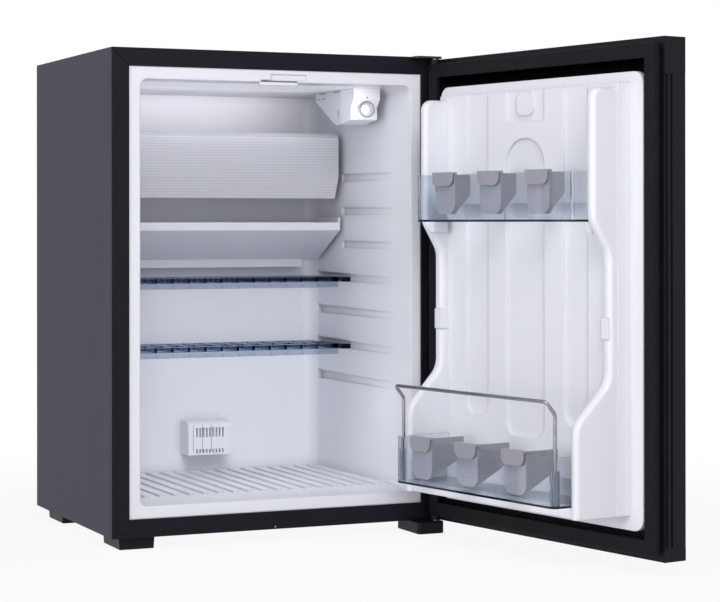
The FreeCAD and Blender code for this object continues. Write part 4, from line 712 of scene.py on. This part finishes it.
# Each lamp's name, place, aim, width and height in metres, power in watts, spread in degrees, and whether
# gloss shows it. The last three are small lamps in the cabinet that make it as bright as in the photo
LAMPS = (
    ("front_softbox", (-0.8, -2.7, 0.5), (0, 0.1, 0.33), 1.2, 1.2, 8, 180, True),
    ("key_softbox", (-0.6, -2.3, 2.1), (0, 0.1, 0.2), 1.4, 1.4, 40, 180, True),
    ("left_softbox", (-2.85, -0.95, 0.4), (0.1, -0.1, 0.25), 1.2, 1.2, 32, 180, True),
    ("cabinet_lamp", (-0.06, 0.02, 0.485), (-0.06, 0.26, 0.56), 0.3, 0.04, 0.07, 80, False),
    ("floor_lamp", (-0.05, 0.05, 0.19), (-0.05, 0.14, 0.05), 0.3, 0.04, 0.05, 100, False),
    ("ceiling_lamp", (-0.08, 0.11, 0.512), (-0.08, 0.29, 0.535), 0.26, 0.015, 0.029, 60, False),
)
DAYLIGHT = 0.32
DAYLIGHT_COLOUR = linear("#fcfdff")
# How far from the fridge the floor starts to turn pure white, where it has done so, and how white it starts
FADE_START = 0.35
FADE_END = 1.1
FADE_LEAST_SHARE = 0.9


class MINIBAR_OT_stage(bpy.types.Operator):
    """Sets up the floor, the lamps and the camera"""
    bl_idname = "minibar.stage"
    bl_label = "Stage"

    def execute(self, context):
        scene = context.scene
        bm = bmesh.new()
        bmesh.ops.create_grid(bm, x_segments=1, y_segments=1, size=scene.minibar_sizes.floor_reach)
        mesh = bpy.data.meshes.new("studio_floor")
        bm.to_mesh(mesh)
        bm.free()
        mesh.materials.append(self.floor_paint(scene.minibar_colours.floor))
        floor = bpy.data.objects.new("studio_floor", mesh)
        scene.collection.objects.link(floor)
        for name, place, aim, width, height, power, spread, gloss in LAMPS:
            lamp = bpy.data.lights.new(name, "AREA")
            lamp.shape = "RECTANGLE"
            lamp.size = width
            lamp.size_y = height
            lamp.energy = power
            lamp.spread = math.radians(spread)
            holder = bpy.data.objects.new(name, lamp)
            holder.visible_camera = False
            holder.visible_glossy = gloss
            holder.location = place
            holder.rotation_euler = (Vector(aim) - Vector(place)).to_track_quat("-Z", "Y").to_euler()
            scene.collection.objects.link(holder)
        self.daylight(scene)
        view = bpy.data.cameras.new("photo_view")
        view.lens = CAMERA_LENS
        view.shift_y = CAMERA_SHIFT
        camera = bpy.data.objects.new("photo_view", view)
        camera.location = CAMERA_PLACE
        camera.rotation_euler = [math.radians(turn) for turn in (CAMERA_TILT, CAMERA_ROLL, CAMERA_TURN)]
        scene.collection.objects.link(camera)
        scene.camera = camera
        scene.view_settings.view_transform = "Standard"
        return {"FINISHED"}

    def seen(self, tree):
        """1 for rays that show the background: from the camera, or by way of gloss or glass."""
        path = add_node(tree, "ShaderNodeLightPath", {})
        first = add_node(tree, "ShaderNodeMath", {
            0: path.outputs["Is Camera Ray"], 1: path.outputs["Is Glossy Ray"]}, operation="MAXIMUM")
        return add_node(tree, "ShaderNodeMath", {
            0: first.outputs[0], 1: path.outputs["Is Transmission Ray"]}, operation="MAXIMUM")

    def floor_paint(self, colour):
        # White studio floor: almost pure white to the eye, with a soft shadow left under the fridge
        material, tree, place = new_material("studio_paint_white")
        paint = add_node(tree, "ShaderNodeBsdfDiffuse", {"Color": solid(colour)})
        glow = add_node(tree, "ShaderNodeEmission", {"Color": WHITE, "Strength": 1})
        away = add_node(tree, "ShaderNodeVectorMath", {0: place}, operation="LENGTH")
        fade = add_node(tree, "ShaderNodeMapRange", {
            "Value": away.outputs["Value"], "From Min": FADE_START, "From Max": FADE_END,
            "To Min": FADE_LEAST_SHARE}, interpolation_type="SMOOTHSTEP")
        share = add_node(tree, "ShaderNodeMath", {
            0: self.seen(tree).outputs[0], 1: fade.outputs[0]}, operation="MULTIPLY")
        mixed = add_node(tree, "ShaderNodeMixShader", {
            "Fac": share.outputs[0], 1: paint.outputs[0], 2: glow.outputs[0]})
        add_node(tree, "ShaderNodeOutputMaterial", {"Surface": mixed.outputs[0]})
        return material

    def daylight(self, scene):
        """A soft cool light from all round, in front of a white backdrop."""
        world = bpy.data.worlds.new("studio_daylight")
        scene.world = world
        world.use_nodes = True
        tree = world.node_tree
        tree.nodes.clear()
        light = add_node(tree, "ShaderNodeBackground", {
            "Color": solid(DAYLIGHT_COLOUR), "Strength": DAYLIGHT})
        backdrop = add_node(tree, "ShaderNodeBackground", {"Color": WHITE, "Strength": 1})
        mixed = add_node(tree, "ShaderNodeMixShader", {
            "Fac": self.seen(tree).outputs[0], 1: light.outputs[0], 2: backdrop.outputs[0]})
        add_node(tree, "ShaderNodeOutputWorld", {"Surface": mixed.outputs[0]})


STEPS = (MINIBAR_OT_cabinet, MINIBAR_OT_inside, MINIBAR_OT_shelves, MINIBAR_OT_door, MINIBAR_OT_racks,
         MINIBAR_OT_control_details, MINIBAR_OT_vent_details, MINIBAR_OT_strike, MINIBAR_OT_plug,
         MINIBAR_OT_cooling, MINIBAR_OT_stage)


class MINIBAR_PT_panel(bpy.types.Panel):
    """Shows the sizes, the colours and a button for each step"""
    bl_idname = "MINIBAR_PT_panel"
    bl_label = "Minibar fridge"
    bl_space_type = "VIEW_3D"
    bl_region_type = "UI"
    bl_category = "Minibar"

    def draw(self, context):
        for settings in (context.scene.minibar_sizes, context.scene.minibar_colours):
            for name in settings.__annotations__:
                self.layout.prop(settings, name)
        for step in STEPS:
            self.layout.operator(step.bl_idname)


CLASSES = (MinibarSizes, MinibarColours, *STEPS, MINIBAR_PT_panel)


def register():
    for kind in CLASSES:
        bpy.utils.register_class(kind)
    bpy.types.Scene.minibar_sizes = bpy.props.PointerProperty(type=MinibarSizes)
    bpy.types.Scene.minibar_colours = bpy.props.PointerProperty(type=MinibarColours)


def unregister():
    del bpy.types.Scene.minibar_colours
    del bpy.types.Scene.minibar_sizes
    for kind in reversed(CLASSES):
        bpy.utils.unregister_class(kind)


def main():
    register()
    bpy.ops.minibar.cabinet()
    bpy.ops.minibar.inside()
    bpy.ops.minibar.shelves()
    bpy.ops.minibar.door()
    bpy.ops.minibar.racks()
    bpy.ops.minibar.control_details()
    bpy.ops.minibar.vent_details()
    bpy.ops.minibar.strike()
    bpy.ops.minibar.plug()
    bpy.ops.minibar.cooling()
    bpy.ops.minibar.stage()


if __name__ == "__main__":
    main()
